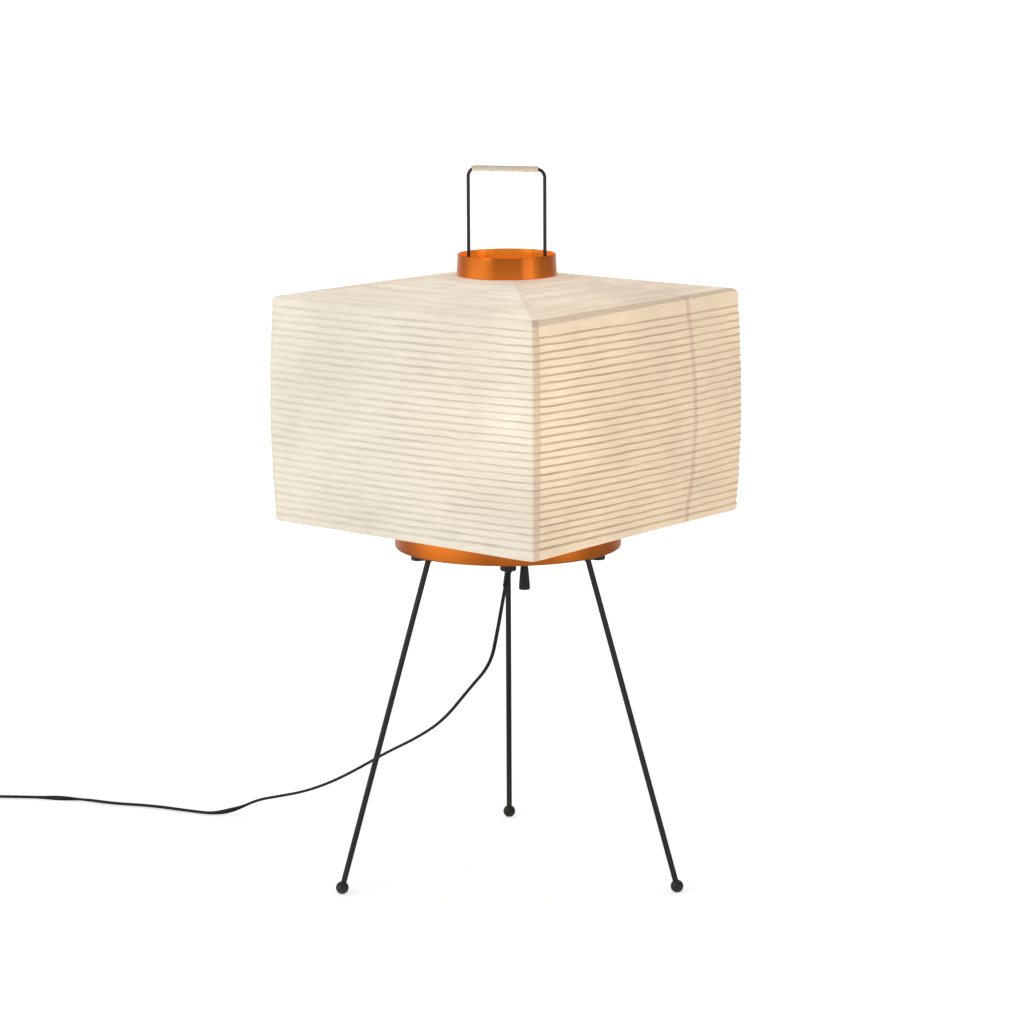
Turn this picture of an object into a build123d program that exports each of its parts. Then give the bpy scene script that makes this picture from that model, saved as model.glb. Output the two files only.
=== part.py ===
from build123d import *
import os
from itertools import pairwise
from math import asin, atan2, cos, degrees, pi, radians, sin, sqrt, tan

# A paper floor lamp: a square paper shade on split ribs, lifted off over a wire frame that stands
# on a spun aluminium pan with three straight legs.
# +Z is up, the floor is Z = 0, the lamp's axis is the Z axis and one leg points along +Y.

os.makedirs("parts", exist_ok=True)

# ---------------------------------------------------------------- driving dimensions (mm, degrees)
SHADE_HALF = 192.0  # half the side of the square shade at its top and bottom edges
SHADE_TURN = -39.2  # direction of the right-hand front side's outward face
CORNER_BULGE = 3.9  # how far a corner stands out at mid height
SIDE_BULGE = 12.0  # how far the middle of a side stands out past its corners
EDGE_BOW = 1.5  # the bow that is left at the top and bottom edges
SIDE_PARTS = 3  # straight lengths in one side of a rib
RIB_COUNT = 30
RIB_LOW = 433.5
RIB_HIGH = 674.5
RIB_SIZE = 1.8
RIB_GAP = 0.7  # the paste between a rib and its paper
PAPER = 1.2
PLEAT = 0.6  # how far the paper dips between two ribs
TURNED_SIDES = 16  # small turned pieces are made with this many sides
CLEAR = 0.2  # round a tube that passes through a hole
SEAT = 0.02  # round a tube that is screwed or pushed into a hole

COLLAR_R = 57.5
COLLAR_WALL = 2.0
COLLAR_LOW = 706.0
COLLAR_HIGH = 731.0
COLLAR_SIDES = 40

PAN_R = 132.5
PAN_LOW = 389.0
PAN_HIGH = 419.0
PAN_SHEET = 1.5
PAN_LIP = 10.0
PAN_BEVEL = 2.5
PAN_SIDES = 48
HOOP_R = 131.0  # outside of the hoop at the shade's lower opening
HOOP_SIZE = 3.0

LEG_TURNS = {"back": 90.0, "left": 210.0, "right": 330.0}
LEG_R = 3.0
LEG_TOP_RADIUS = 104.0  # the leg's distance from the axis at the pan's underside
FOOT_RADIUS = 223.7
FOOT_R = 7.5
FOOT_FLAT = 0.2  # how far the ball is worn flat where it stands
PLATE_THICK = 6.0
PLATE_LENGTH = 38.0
PLATE_WIDTH = 16.0
PLATE_RADIUS = 109.0  # distance of the plate's middle from the axis

FRAME_TURN = -17.3  # direction of the handle's bar
FRAME_HALF = 46.0
FRAME_TOP = 828.5
WIRE_R = 2.0
WIRE_BEND = 7.5
WIRE_SIDES = 12
WIRE_CLEAR = 0.1
GRIP_R = 3.55
GRIP_HALF = 38.4
STRAP_LENGTH = 112.0
STRAP_WIDTH = 14.0
STRAP_THICK = 2.0
STOP_SIZE = 8.0
STOP_HEIGHT = 7.0
FORK_WIDTH = 10.0
FORK_SLOT = 5.0
FORK_INNER = 42.0  # where the prongs end
FORK_THICK = 1.5
FORK_CLEAR = 0.6  # between a fork's end and the collar's wall

RISER_R = 5.0
RISER_WALL = 1.2
RISER_LOW = 386.0
RISER_TOP = 438.0
NUT_R = 8.1
NUT_HEIGHT = 5.0
HOLDER_LOW = 428.0
HOLDER_HIGH = 486.0
HOLDER_R = 19.5
HOLDER_SPLIT = 444.0  # where the skirt is screwed into the cap
HOLDER_SHOULDER = 7.0
HOLDER_SIDES = 24
SKIRT_RIM = 4.0
SOCKET_R = 14.0
SOCKET_FLOOR = 456.0
CONTACT_TOP = 459.7
CONTACT_WIDTH = 4.0
CONTACT_LENGTH = 18.0
CONTACT_TIP = 6.0  # length of the raised middle that touches the bulb
CONTACT_THICK = 0.8
CAP_R = 13.0
CAP_BEVEL = 2.5
CAP_TIP_R = 4.0
CAP_TIP = 3.0
CAP_LOW = 463.0
CAP_HIGH = 488.0
BULB_R = 30.0
BULB_CENTRE = 538.0

SWITCH_ALONG = 15.2  # the pull switch, along and beside the frame's strap
SWITCH_BESIDE = 15.2
SWITCH_SIZE = 16.0
SWITCH_GAP = 0.6  # keeps the switch clear of the strap
SWITCH_BORE = 24.0
PLUNGER_LENGTH = 22.0
PLUNGER_SIDES = 12
SWITCH_HIGH = 417.0
NECK_R = 5.0
NECK_LOW = 381.0
PLUNGER_R = 2.0
PULL_PIVOT = 379.0
BELL_TOP = 366.0
BELL_LOW = 334.0
BELL_TOP_R = 4.0
BELL_R = 6.6
BELL_MOUTH_R = 5.0
BELL_MOUTH = 3.0  # height of the bell's turned-in lower edge
PULL_CORD_R = 0.8

CORD_GRIP_R = 9.5
CORD_GRIP_LOW = 358.5
CORD_GRIP_EDGE = 1.0
FLEX_R = 3.0
FLEX_SIDES = 6
SLEEVE_TOP_R = 4.4
SLEEVE_LOW_R = 3.4
FLEX_ROUTE = [
    (-3.5, 2, 338.5),
    (-7.5, 4.5, 316),
    (-13, 8.5, 284),
    (-21, 14.5, 243),
    (-47, 32, 209),
    (-78, 52, 166),
    (-111, 74, 139),
    (-149, 98, 115),
    (-184, 122, 89),
    (-218, 150, 65),
    (-254, 184, 44),
    (-290, 218, 29),
    (-316, 236, 20),
    (-341, 234, 9),
    (-370, 232, 3.2),
    (-403, 247, 3.2),
    (-453, 273, 3.2),
    (-503, 285, 3.2),
    (-543, 306, 3.2),
    (-598, 317, 3.2),
    (-653, 322, 3.2),
    (-694, 323, 3.2),
]
COIL_CENTRE = (-704.0, 289.0)
COIL_MEAN_R = 31.5
COIL_HALF_WIDTH = 6.6
COIL_HEIGHT = 11.5
COIL_SIDES = 24
TAIL_ROUTE = [(-735.5, 283, 6.0), (-736, 262, 6.6), (-737.5, 244, 7.5)]
PLUG_WIDTH = 25.0
PLUG_LENGTH = 27.0
PLUG_HEIGHT = 15.0
PLUG_NOSE = 5.0  # half the plug's width where the flex goes in
PLUG_TAPER = 11.0
PLUG_BEVEL = 1.5
BLADE_GAP = 12.7
BLADE_WIDTH = 6.35
BLADE_THICK = 1.5
BLADE_LENGTH = 16.0

FRAME_PLANE = Plane.XY.rotated((0, 0, FRAME_TURN))


# ---------------------------------------------------------------- shapes used more than once
def side_points(corner, middle):
    """Points along one bowed side that faces +X, from its -Y corner up to its +Y corner."""
    rise = middle - corner
    radius = (corner**2 + rise**2) / (2 * rise)
    half_angle = asin(corner / radius)
    steps = [2 * i / SIDE_PARTS - 1 for i in range(SIDE_PARTS + 1)]
    return [
        (middle - radius * (1 - cos(half_angle * t)), radius * sin(half_angle * t))
        for t in steps
    ]


def ring_points(corner, middle):
    """Points round a whole section of the shade, turned to stand as the shade does."""
    points = []
    for side in range(4):
        turn = radians(SHADE_TURN + 90 * side)
        for x, y in side_points(corner, middle)[:-1]:
            points.append((x * cos(turn) - y * sin(turn), x * sin(turn) + y * cos(turn)))
    return points


def wall_at(height):
    """(corner, middle) distances of the shade's outside at a rib of this height."""
    mid_height = (RIB_LOW + RIB_HIGH) / 2
    reach = (RIB_HIGH - RIB_LOW) / 2 + 10
    share = 1 - ((height - mid_height) / reach) ** 2
    corner = SHADE_HALF + CORNER_BULGE * share
    return corner, corner + EDGE_BOW + SIDE_BULGE * share


def circle_at(radius):
    """(corner, middle) distances that make a section round."""
    return radius / sqrt(2), radius


def panel_rows(sections):
    """One row of points for each (height, corner, middle) section of a side that faces +X."""
    return [[Vector(x, y, z) for x, y in side_points(corner, middle)] for z, corner, middle in sections]


def skin_between(row, next_row):
    """Flat triangles that close the strip between two rows of points."""
    faces = []
    for a, b, c, d in zip(row, row[1:], next_row, next_row[1:]):
        for corners in ((a, b, d), (a, d, c)):
            faces.append(Face(Wire.make_polygon(corners)))
    return faces


def turned(profile, sides=TURNED_SIDES):
    """A turned piece with flat sides, from (height, radius) pairs that run from its bottom up."""
    turns = [2 * pi * i / sides for i in range(sides)]
    rows = [[Vector(radius * cos(t), radius * sin(t), height) for t in turns] for height, radius in profile]
    faces = [Face(Wire.make_polygon(rows[0])), Face(Wire.make_polygon(rows[-1]))]
    for row, next_row in pairwise(rows):
        for a, b, c, d in zip(row, row[1:] + row[:1], next_row, next_row[1:] + next_row[:1]):
            faces.append(Face(Wire.make_polygon((a, b, d, c))))
    return Solid(Shell(faces))


def tube_radii(route):
    """Bend radii for a cord: as large as the two runs beside each point allow."""
    radii = []
    for before, point, after in zip(route, route[1:], route[2:]):
        run_in = Vector(*point) - Vector(*before)
        run_out = Vector(*after) - Vector(*point)
        turn = radians(run_in.get_angle(run_out))
        radii.append(0.45 * min(run_in.length, run_out.length) / tan(turn / 2))
    return radii


def leg_point(turn, radius, height):
    """A point at this direction, distance from the axis and height."""
    return Vector(radius * cos(radians(turn)), radius * sin(radians(turn)), height)


# ---------------------------------------------------------------- base pan
PAN_INNER = PAN_R - PAN_SHEET
with BuildPart() as base_pan:
    add(turned(((PAN_LOW, PAN_R - PAN_BEVEL), (PAN_LOW + PAN_BEVEL, PAN_R), (PAN_HIGH, PAN_R)), PAN_SIDES))
    hollow = ((PAN_LOW + PAN_SHEET, PAN_INNER), (PAN_HIGH - PAN_SHEET, PAN_INNER))
    add(turned(hollow, PAN_SIDES), mode=Mode.SUBTRACT)
    with BuildSketch(Plane.XY.offset(PAN_HIGH - PAN_SHEET)):
        RegularPolygon(PAN_R - PAN_LIP, PAN_SIDES)
    extrude(amount=PAN_SHEET, mode=Mode.SUBTRACT)
    with BuildSketch(FRAME_PLANE.offset(PAN_LOW)):
        RegularPolygon(RISER_R + CLEAR, TURNED_SIDES)
        with Locations((SWITCH_ALONG, SWITCH_BESIDE)):
            RegularPolygon(NECK_R + CLEAR, TURNED_SIDES)
    extrude(amount=PAN_SHEET, mode=Mode.SUBTRACT)
base_pan.part.label = "base_pan"
export_step(base_pan.part, "parts/base_pan.step")

# ---------------------------------------------------------------- legs, their plates and feet
PLATE_LOW = PAN_LOW - PLATE_THICK
PLATE_END = (PLATE_LENGTH - PLATE_WIDTH) / 2
LEG_SEAT = sqrt(FOOT_R**2 - LEG_R**2)  # where the rod's end meets the ball
FOOT_CENTRE = FOOT_R - FOOT_FLAT
for place, turn in LEG_TURNS.items():
    foot = leg_point(turn, FOOT_RADIUS, FOOT_CENTRE)
    top = leg_point(turn, LEG_TOP_RADIUS, PAN_LOW)
    up_leg = (top - foot).normalized()
    with BuildPart() as leg:
        with BuildSketch(Plane(origin=foot + up_leg * LEG_SEAT, z_dir=up_leg)):
            Circle(LEG_R)
        extrude(amount=(top - foot).length)
        split(bisect_by=Plane.XY.offset(PLATE_LOW), keep=Keep.BOTTOM)
    leg.part.label = f"leg_{place}"
    export_step(leg.part, f"parts/leg_{place}.step")

    with BuildPart() as leg_plate:
        with BuildSketch(Plane.XY.offset(PLATE_LOW)):
            with PolarLocations(PLATE_RADIUS, 1, start_angle=turn):
                Rectangle(PLATE_LENGTH - PLATE_WIDTH, PLATE_WIDTH)
                with Locations((PLATE_END, 0), (-PLATE_END, 0)):
                    RegularPolygon(PLATE_WIDTH / 2, TURNED_SIDES)
        extrude(amount=PLATE_THICK)
    leg_plate.part.label = f"leg_plate_{place}"
    export_step(leg_plate.part, f"parts/leg_plate_{place}.step")

FOOT_STEPS = [degrees(atan2(sqrt(FOOT_R**2 - FOOT_CENTRE**2), FOOT_CENTRE)), 37, 60, 82, 105, 128, 152]
BALL = [(FOOT_CENTRE - FOOT_R * cos(radians(a)), FOOT_R * sin(radians(a))) for a in FOOT_STEPS]
BALL[0] = (0, BALL[0][1])
with BuildPart() as ball_feet:
    for turn in LEG_TURNS.values():
        foot = leg_point(turn, FOOT_RADIUS, FOOT_CENTRE)
        up_leg = (leg_point(turn, LEG_TOP_RADIUS, PAN_LOW) - foot).normalized()
        with Locations((foot.X, foot.Y)):
            add(turned(BALL))
        with BuildSketch(Plane(origin=foot + up_leg * LEG_SEAT, z_dir=up_leg)):
            Rectangle(2 * FOOT_R, 2 * FOOT_R)
        extrude(amount=FOOT_R, mode=Mode.SUBTRACT)
ball_feet.part.label = "ball_feet"
export_step(ball_feet.part, "parts/ball_feet.step")

# ---------------------------------------------------------------- wire frame and handle
STRAP_LOW = PAN_LOW + PAN_SHEET
STRAP_HIGH = STRAP_LOW + STRAP_THICK
with BuildPart() as frame_strap:
    with BuildSketch(FRAME_PLANE.offset(STRAP_LOW)):
        Rectangle(STRAP_LENGTH, STRAP_WIDTH)
        Circle(RISER_R + CLEAR, mode=Mode.SUBTRACT)
    extrude(amount=STRAP_THICK)
frame_strap.part.label = "frame_strap"
export_step(frame_strap.part, "parts/frame_strap.step")

UPRIGHT_PLANE = Plane(origin=(0, 0, 0), x_dir=FRAME_PLANE.x_dir, z_dir=-FRAME_PLANE.y_dir)
with BuildPart() as frame_wire:
    with BuildLine(UPRIGHT_PLANE):
        FilletPolyline(
            (-FRAME_HALF, STRAP_HIGH),
            (-FRAME_HALF, FRAME_TOP),
            (FRAME_HALF, FRAME_TOP),
            (FRAME_HALF, STRAP_HIGH),
            radius=WIRE_BEND,
        )
    with BuildSketch(FRAME_PLANE.offset(STRAP_HIGH)):
        with Locations((-FRAME_HALF, 0)):
            RegularPolygon(WIRE_R, WIRE_SIDES)
    sweep()
frame_wire.part.label = "frame_wire"
export_step(frame_wire.part, "parts/frame_wire.step")

with BuildPart() as handle_grip:
    with BuildSketch(Plane(origin=FRAME_PLANE.x_dir * -GRIP_HALF + Vector(0, 0, FRAME_TOP),
                           z_dir=FRAME_PLANE.x_dir)):
        RegularPolygon(GRIP_R, TURNED_SIDES)
        RegularPolygon(WIRE_R + WIRE_CLEAR, WIRE_SIDES, mode=Mode.SUBTRACT)
    extrude(amount=2 * GRIP_HALF)
handle_grip.part.label = "handle_grip"
export_step(handle_grip.part, "parts/handle_grip.step")

with BuildPart() as frame_stops:
    with BuildSketch(FRAME_PLANE.offset(COLLAR_LOW - STOP_HEIGHT)):
        with Locations((-FRAME_HALF, 0), (FRAME_HALF, 0)):
            Rectangle(STOP_SIZE, STOP_SIZE)
            RegularPolygon(WIRE_R + WIRE_CLEAR, WIRE_SIDES, mode=Mode.SUBTRACT)
    extrude(amount=STOP_HEIGHT)
frame_stops.part.label = "frame_stops"
export_step(frame_stops.part, "parts/frame_stops.step")

# ---------------------------------------------------------------- riser, lamp holder and bulb
with BuildPart() as riser_tube:
    with BuildSketch(Plane.XY.offset(RISER_LOW)):
        RegularPolygon(RISER_R, TURNED_SIDES)
        RegularPolygon(RISER_R - RISER_WALL, TURNED_SIDES, mode=Mode.SUBTRACT)
    extrude(amount=RISER_TOP - RISER_LOW)
riser_tube.part.label = "riser_tube"
export_step(riser_tube.part, "parts/riser_tube.step")

with BuildPart() as riser_nuts:
    for nut_low in (STRAP_HIGH, HOLDER_LOW - NUT_HEIGHT):
        with BuildSketch(Plane.XY.offset(nut_low)):
            RegularPolygon(NUT_R, 6)
            RegularPolygon(RISER_R + SEAT, TURNED_SIDES, mode=Mode.SUBTRACT)
        extrude(amount=NUT_HEIGHT)
riser_nuts.part.label = "riser_nuts"
export_step(riser_nuts.part, "parts/riser_nuts.step")

with BuildPart() as holder_cap:
    shoulder = (HOLDER_LOW + HOLDER_SHOULDER, HOLDER_R)
    add(turned(((HOLDER_LOW, HOLDER_R - HOLDER_SHOULDER), shoulder, (HOLDER_SPLIT, HOLDER_R))))
    with BuildSketch(Plane.XY.offset(HOLDER_LOW)):
        RegularPolygon(RISER_R + SEAT, TURNED_SIDES)
    extrude(amount=RISER_TOP - HOLDER_LOW, mode=Mode.SUBTRACT)
holder_cap.part.label = "holder_cap"
export_step(holder_cap.part, "parts/holder_cap.step")

with BuildPart() as holder_skirt:
    with BuildSketch(Plane.XY.offset(HOLDER_SPLIT)):
        RegularPolygon(HOLDER_R - 0.8, HOLDER_SIDES)
    extrude(amount=HOLDER_HIGH - HOLDER_SPLIT)
    with BuildSketch(Plane.XY.offset(HOLDER_HIGH - SKIRT_RIM)):
        RegularPolygon(HOLDER_R + 0.7, HOLDER_SIDES)
    extrude(amount=SKIRT_RIM)
    with BuildSketch(Plane.XY.offset(SOCKET_FLOOR)):
        RegularPolygon(SOCKET_R, HOLDER_SIDES)
    extrude(amount=HOLDER_HIGH - SOCKET_FLOOR, mode=Mode.SUBTRACT)
holder_skirt.part.label = "holder_skirt"
export_step(holder_skirt.part, "parts/holder_skirt.step")

with BuildPart() as holder_contact:
    with BuildSketch(Plane.XY.offset(SOCKET_FLOOR)):
        Rectangle(CONTACT_WIDTH, CONTACT_LENGTH)
    extrude(amount=CONTACT_THICK)
    with BuildSketch(Plane.XY.offset(SOCKET_FLOOR)):
        Rectangle(CONTACT_WIDTH, CONTACT_TIP)
    extrude(amount=CONTACT_TOP - SOCKET_FLOOR)
holder_contact.part.label = "holder_contact"
export_step(holder_contact.part, "parts/holder_contact.step")

GLOBE_STEPS = (-30, -8, 14, 36, 58, 78)
BULB_PROFILE = [(CAP_HIGH, CAP_R - 0.4), (CAP_HIGH + 8, CAP_R + 1.5)]
BULB_PROFILE += [(BULB_CENTRE + BULB_R * sin(radians(a)), BULB_R * cos(radians(a))) for a in GLOBE_STEPS]
with BuildPart() as bulb_glass:
    add(turned(BULB_PROFILE))
bulb_glass.part.label = "bulb_glass"
export_step(bulb_glass.part, "parts/bulb_glass.step")

with BuildPart() as bulb_cap:
    tip = ((CAP_LOW - CAP_TIP, CAP_TIP_R), (CAP_LOW, CAP_R - CAP_BEVEL))
    add(turned((*tip, (CAP_LOW + CAP_BEVEL, CAP_R), (CAP_HIGH, CAP_R))))
bulb_cap.part.label = "bulb_cap"
export_step(bulb_cap.part, "parts/bulb_cap.step")

# ---------------------------------------------------------------- pull switch
with BuildPart() as switch_body:
    with BuildSketch(FRAME_PLANE.offset(STRAP_LOW)):
        with Locations((SWITCH_ALONG, SWITCH_BESIDE)):
            Rectangle(SWITCH_SIZE, SWITCH_SIZE - SWITCH_GAP)
    extrude(amount=SWITCH_HIGH - STRAP_LOW)
    with BuildSketch(FRAME_PLANE.offset(NECK_LOW)):
        with Locations((SWITCH_ALONG, SWITCH_BESIDE)):
            RegularPolygon(NECK_R, TURNED_SIDES)
    extrude(amount=STRAP_LOW - NECK_LOW)
    with BuildSketch(FRAME_PLANE.offset(NECK_LOW)):
        with Locations((SWITCH_ALONG, SWITCH_BESIDE)):
            RegularPolygon(PLUNGER_R + 0.4, PLUNGER_SIDES)
    extrude(amount=SWITCH_BORE, mode=Mode.SUBTRACT)
switch_body.part.label = "switch_body"
export_step(switch_body.part, "parts/switch_body.step")

with BuildPart() as switch_nut:
    with BuildSketch(FRAME_PLANE.offset(PAN_LOW - NUT_HEIGHT)):
        with Locations((SWITCH_ALONG, SWITCH_BESIDE)):
            RegularPolygon(NUT_R, 6)
            RegularPolygon(NECK_R + SEAT, TURNED_SIDES, mode=Mode.SUBTRACT)
    extrude(amount=NUT_HEIGHT)
switch_nut.part.label = "switch_nut"
export_step(switch_nut.part, "parts/switch_nut.step")

with BuildPart() as pull_plunger:
    with BuildSketch(FRAME_PLANE.offset(PULL_PIVOT)):
        with Locations((SWITCH_ALONG, SWITCH_BESIDE)):
            RegularPolygon(PLUNGER_R, PLUNGER_SIDES)
    extrude(amount=PLUNGER_LENGTH)
pull_plunger.part.label = "pull_plunger"
export_step(pull_plunger.part, "parts/pull_plunger.step")

with BuildPart() as pull_cord:
    with BuildSketch(FRAME_PLANE.offset(BELL_TOP)):
        with Locations((SWITCH_ALONG, SWITCH_BESIDE)):
            RegularPolygon(PULL_CORD_R, 8)
    extrude(amount=PULL_PIVOT - BELL_TOP - 0.3)
pull_cord.part.label = "pull_cord"
export_step(pull_cord.part, "parts/pull_cord.step")

with BuildPart() as pull_bell:
    with Locations(FRAME_PLANE * Pos(SWITCH_ALONG, SWITCH_BESIDE)):
        add(turned(((BELL_LOW, BELL_MOUTH_R), (BELL_LOW + BELL_MOUTH, BELL_R), (BELL_TOP, BELL_TOP_R))))
pull_bell.part.label = "pull_bell"
export_step(pull_bell.part, "parts/pull_bell.step")

# ---------------------------------------------------------------- cord grip, flex, coil and plug
with BuildPart() as cord_grip:
    edge = (CORD_GRIP_LOW + CORD_GRIP_EDGE, CORD_GRIP_R)
    add(turned(((CORD_GRIP_LOW, CORD_GRIP_R - CORD_GRIP_EDGE), edge, (PAN_LOW, CORD_GRIP_R)), 24))
    with BuildSketch(Plane.XY.offset(RISER_LOW)):
        RegularPolygon(RISER_R + SEAT, TURNED_SIDES)
    extrude(amount=PAN_LOW - RISER_LOW, mode=Mode.SUBTRACT)
cord_grip.part.label = "cord_grip"
export_step(cord_grip.part, "parts/cord_grip.step")

SLEEVE_END = Vector(*FLEX_ROUTE[0])
SLEEVE_DOWN = Vector(*FLEX_ROUTE[1]) - SLEEVE_END
SLEEVE_START = SLEEVE_END - SLEEVE_DOWN * ((CORD_GRIP_LOW - SLEEVE_END.Z) / -SLEEVE_DOWN.Z)
SLEEVE_LENGTH = (SLEEVE_START - SLEEVE_END).length
with BuildPart() as flex_sleeve:
    with Locations(Plane(origin=SLEEVE_END, z_dir=-SLEEVE_DOWN)):
        add(turned(((0, SLEEVE_LOW_R), (SLEEVE_LENGTH + 2, SLEEVE_TOP_R))))
    split(bisect_by=Plane.XY.offset(CORD_GRIP_LOW), keep=Keep.BOTTOM)
flex_sleeve.part.label = "flex_sleeve"
export_step(flex_sleeve.part, "parts/flex_sleeve.step")

for name, route in (("flex", FLEX_ROUTE), ("flex_tail", TAIL_ROUTE)):
    radii = tube_radii(route)
    print(name, "bend radii, mm:", [round(radius) for radius in radii])
    start = Vector(*route[0])
    with BuildPart() as flex:
        with BuildLine() as path:
            FilletPolyline(*route, radius=radii)
        with BuildSketch(Plane(origin=start, z_dir=Vector(*route[1]) - start)):
            RegularPolygon(FLEX_R, FLEX_SIDES)
        sweep()
    length = sum(edge.length for edge in path.edges())
    section = 1.5 * sqrt(3) * FLEX_R**2
    print(name, "length", round(length), "volume share", round(flex.part.volume / (section * length), 3))
    flex.part.label = name
    export_step(flex.part, f"parts/{name}.step")

with BuildPart() as flex_coil:
    with BuildSketch(Plane.XY):
        with Locations(COIL_CENTRE):
            RegularPolygon(COIL_MEAN_R + COIL_HALF_WIDTH, COIL_SIDES)
            RegularPolygon(COIL_MEAN_R - COIL_HALF_WIDTH, COIL_SIDES, mode=Mode.SUBTRACT)
    extrude(amount=COIL_HEIGHT)
flex_coil.part.label = "flex_coil"
export_step(flex_coil.part, "parts/flex_coil.step")

PLUG_X, PLUG_BACK, _ = TAIL_ROUTE[-1]
with BuildPart() as plug_body:
    with BuildSketch(Plane.XY):
        with BuildLine():
            Polyline(
                (PLUG_X - PLUG_NOSE, PLUG_BACK),
                (PLUG_X + PLUG_NOSE, PLUG_BACK),
                (PLUG_X + PLUG_WIDTH / 2, PLUG_BACK - PLUG_TAPER),
                (PLUG_X + PLUG_WIDTH / 2, PLUG_BACK - PLUG_LENGTH),
                (PLUG_X - PLUG_WIDTH / 2, PLUG_BACK - PLUG_LENGTH),
                (PLUG_X - PLUG_WIDTH / 2, PLUG_BACK - PLUG_TAPER),
                close=True,
            )
        make_face()
    extrude(amount=PLUG_HEIGHT)
    chamfer(plug_body.edges().filter_by(Plane.XY), length=PLUG_BEVEL)
plug_body.part.label = "plug_body"
export_step(plug_body.part, "parts/plug_body.step")

with BuildPart() as plug_blades:
    with BuildSketch(Plane.XZ.offset(PLUG_LENGTH - PLUG_BACK)):
        with Locations((PLUG_X - BLADE_GAP / 2, PLUG_HEIGHT / 2), (PLUG_X + BLADE_GAP / 2, PLUG_HEIGHT / 2)):
            Rectangle(BLADE_THICK, BLADE_WIDTH)
    extrude(amount=BLADE_LENGTH)
plug_blades.part.label = "plug_blades"
export_step(plug_blades.part, "parts/plug_blades.step")

# ---------------------------------------------------------------- shade: collar and forks
with BuildPart() as top_collar:
    with BuildSketch(Plane.XY.offset(COLLAR_LOW)):
        RegularPolygon(COLLAR_R, COLLAR_SIDES)
        RegularPolygon(COLLAR_R - COLLAR_WALL, COLLAR_SIDES, mode=Mode.SUBTRACT)
    extrude(amount=COLLAR_HIGH - COLLAR_LOW)
top_collar.part.label = "top_collar"
export_step(top_collar.part, "parts/top_collar.step")

FORK_OUTER = COLLAR_R - COLLAR_WALL - FORK_CLEAR
SLOT_END = FRAME_HALF + FORK_SLOT / 2
with BuildPart() as collar_forks:
    for side in (0, 180):
        with BuildSketch(FRAME_PLANE.offset(COLLAR_LOW)):
            with PolarLocations((FORK_OUTER + FORK_INNER) / 2, 1, start_angle=side):
                Rectangle(FORK_OUTER - FORK_INNER, FORK_WIDTH)
            with PolarLocations((SLOT_END + FORK_INNER) / 2, 1, start_angle=side):
                Rectangle(SLOT_END - FORK_INNER, FORK_SLOT, mode=Mode.SUBTRACT)
        extrude(amount=FORK_THICK)
collar_forks.part.label = "collar_forks"
export_step(collar_forks.part, "parts/collar_forks.step")

# ---------------------------------------------------------------- shade: paper on its ribs
RIB_PITCH = (RIB_HIGH - RIB_LOW) / (RIB_COUNT - 1)
RIB_HEIGHTS = [RIB_LOW + i * RIB_PITCH for i in range(RIB_COUNT)]
PAPER_LOW = PAN_HIGH + PAPER
ROOF_R = COLLAR_R - 0.5
LOWER_EDGE = [(424.5, SHADE_HALF - 6, SHADE_HALF - 5), (427.5, SHADE_HALF - 1.8, SHADE_HALF - 0.6)]
UPPER_EDGE = [(681.0, SHADE_HALF - 1.7, SHADE_HALF - 0.4), (685.3, SHADE_HALF - 6, SHADE_HALF - 5),
              (687.4, SHADE_HALF - 12, SHADE_HALF - 11.2)]

INSET = PAPER + PLEAT
OUTSIDE = [(PAPER_LOW, *circle_at(HOOP_R + 2)), *LOWER_EDGE]
for height in RIB_HEIGHTS:
    OUTSIDE.append((height, *wall_at(height)))
    if height < RIB_HEIGHTS[-1]:
        corner, middle = wall_at(height + RIB_PITCH / 2)
        OUTSIDE.append((height + RIB_PITCH / 2, corner - PLEAT, middle - PLEAT))
OUTSIDE += [*UPPER_EDGE, (COLLAR_LOW, *circle_at(ROOF_R))]
INSIDE = [(PAPER_LOW, *circle_at(HOOP_R + 0.3)), (PAPER_LOW + PAPER, *circle_at(HOOP_R + 0.3))]
INSIDE += [(height + PAPER, corner - INSET, middle - INSET) for height, corner, middle in LOWER_EDGE]
for height in (RIB_LOW - PAPER, *RIB_HEIGHTS[2::2], RIB_HIGH + PAPER):
    corner, middle = wall_at(height)
    INSIDE.append((height, corner - INSET, middle - INSET))
INSIDE += [(height - PAPER, corner - INSET, middle - INSET) for height, corner, middle in UPPER_EDGE]
INSIDE += [(COLLAR_LOW - PAPER, *circle_at(ROOF_R - 1.4)), (COLLAR_LOW, *circle_at(ROOF_R - 1.4))]

outside = panel_rows(OUTSIDE)
inside = panel_rows(INSIDE)
skin = []
for rows in (outside, inside, [outside[0], inside[0]], [outside[-1], inside[-1]]):
    for row, next_row in pairwise(rows):
        skin += skin_between(row, next_row)
for end in (0, -1):
    edge = [row[end] for row in outside] + [row[end] for row in reversed(inside)]
    skin.append(Face(Wire.make_polygon(edge)))
sheet = Solid(Shell(skin))
print("paper sheet: valid", sheet.is_valid, "volume", round(sheet.volume))
for side, place in enumerate(("front_right", "back_right", "back_left", "front_left")):
    with BuildPart() as paper_panel:
        add(sheet, rotation=(0, 0, SHADE_TURN + 90 * side))
    paper_panel.part.label = f"paper_{place}"
    export_step(paper_panel.part, f"parts/paper_{place}.step")

with BuildPart() as shade_ribs:
    gap = INSET + RIB_GAP
    for height in RIB_HEIGHTS:
        corner, middle = wall_at(height)
        with BuildSketch(Plane.XY.offset(height - RIB_SIZE / 2)):
            with BuildLine():
                Polyline(*ring_points(corner - gap, middle - gap), close=True)
            make_face()
            with BuildLine():
                inset = gap + RIB_SIZE
                Polyline(*ring_points(corner - inset, middle - inset), close=True)
            make_face(mode=Mode.SUBTRACT)
        extrude(amount=RIB_SIZE)
shade_ribs.part.label = "shade_ribs"
export_step(shade_ribs.part, "parts/shade_ribs.step")

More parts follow.
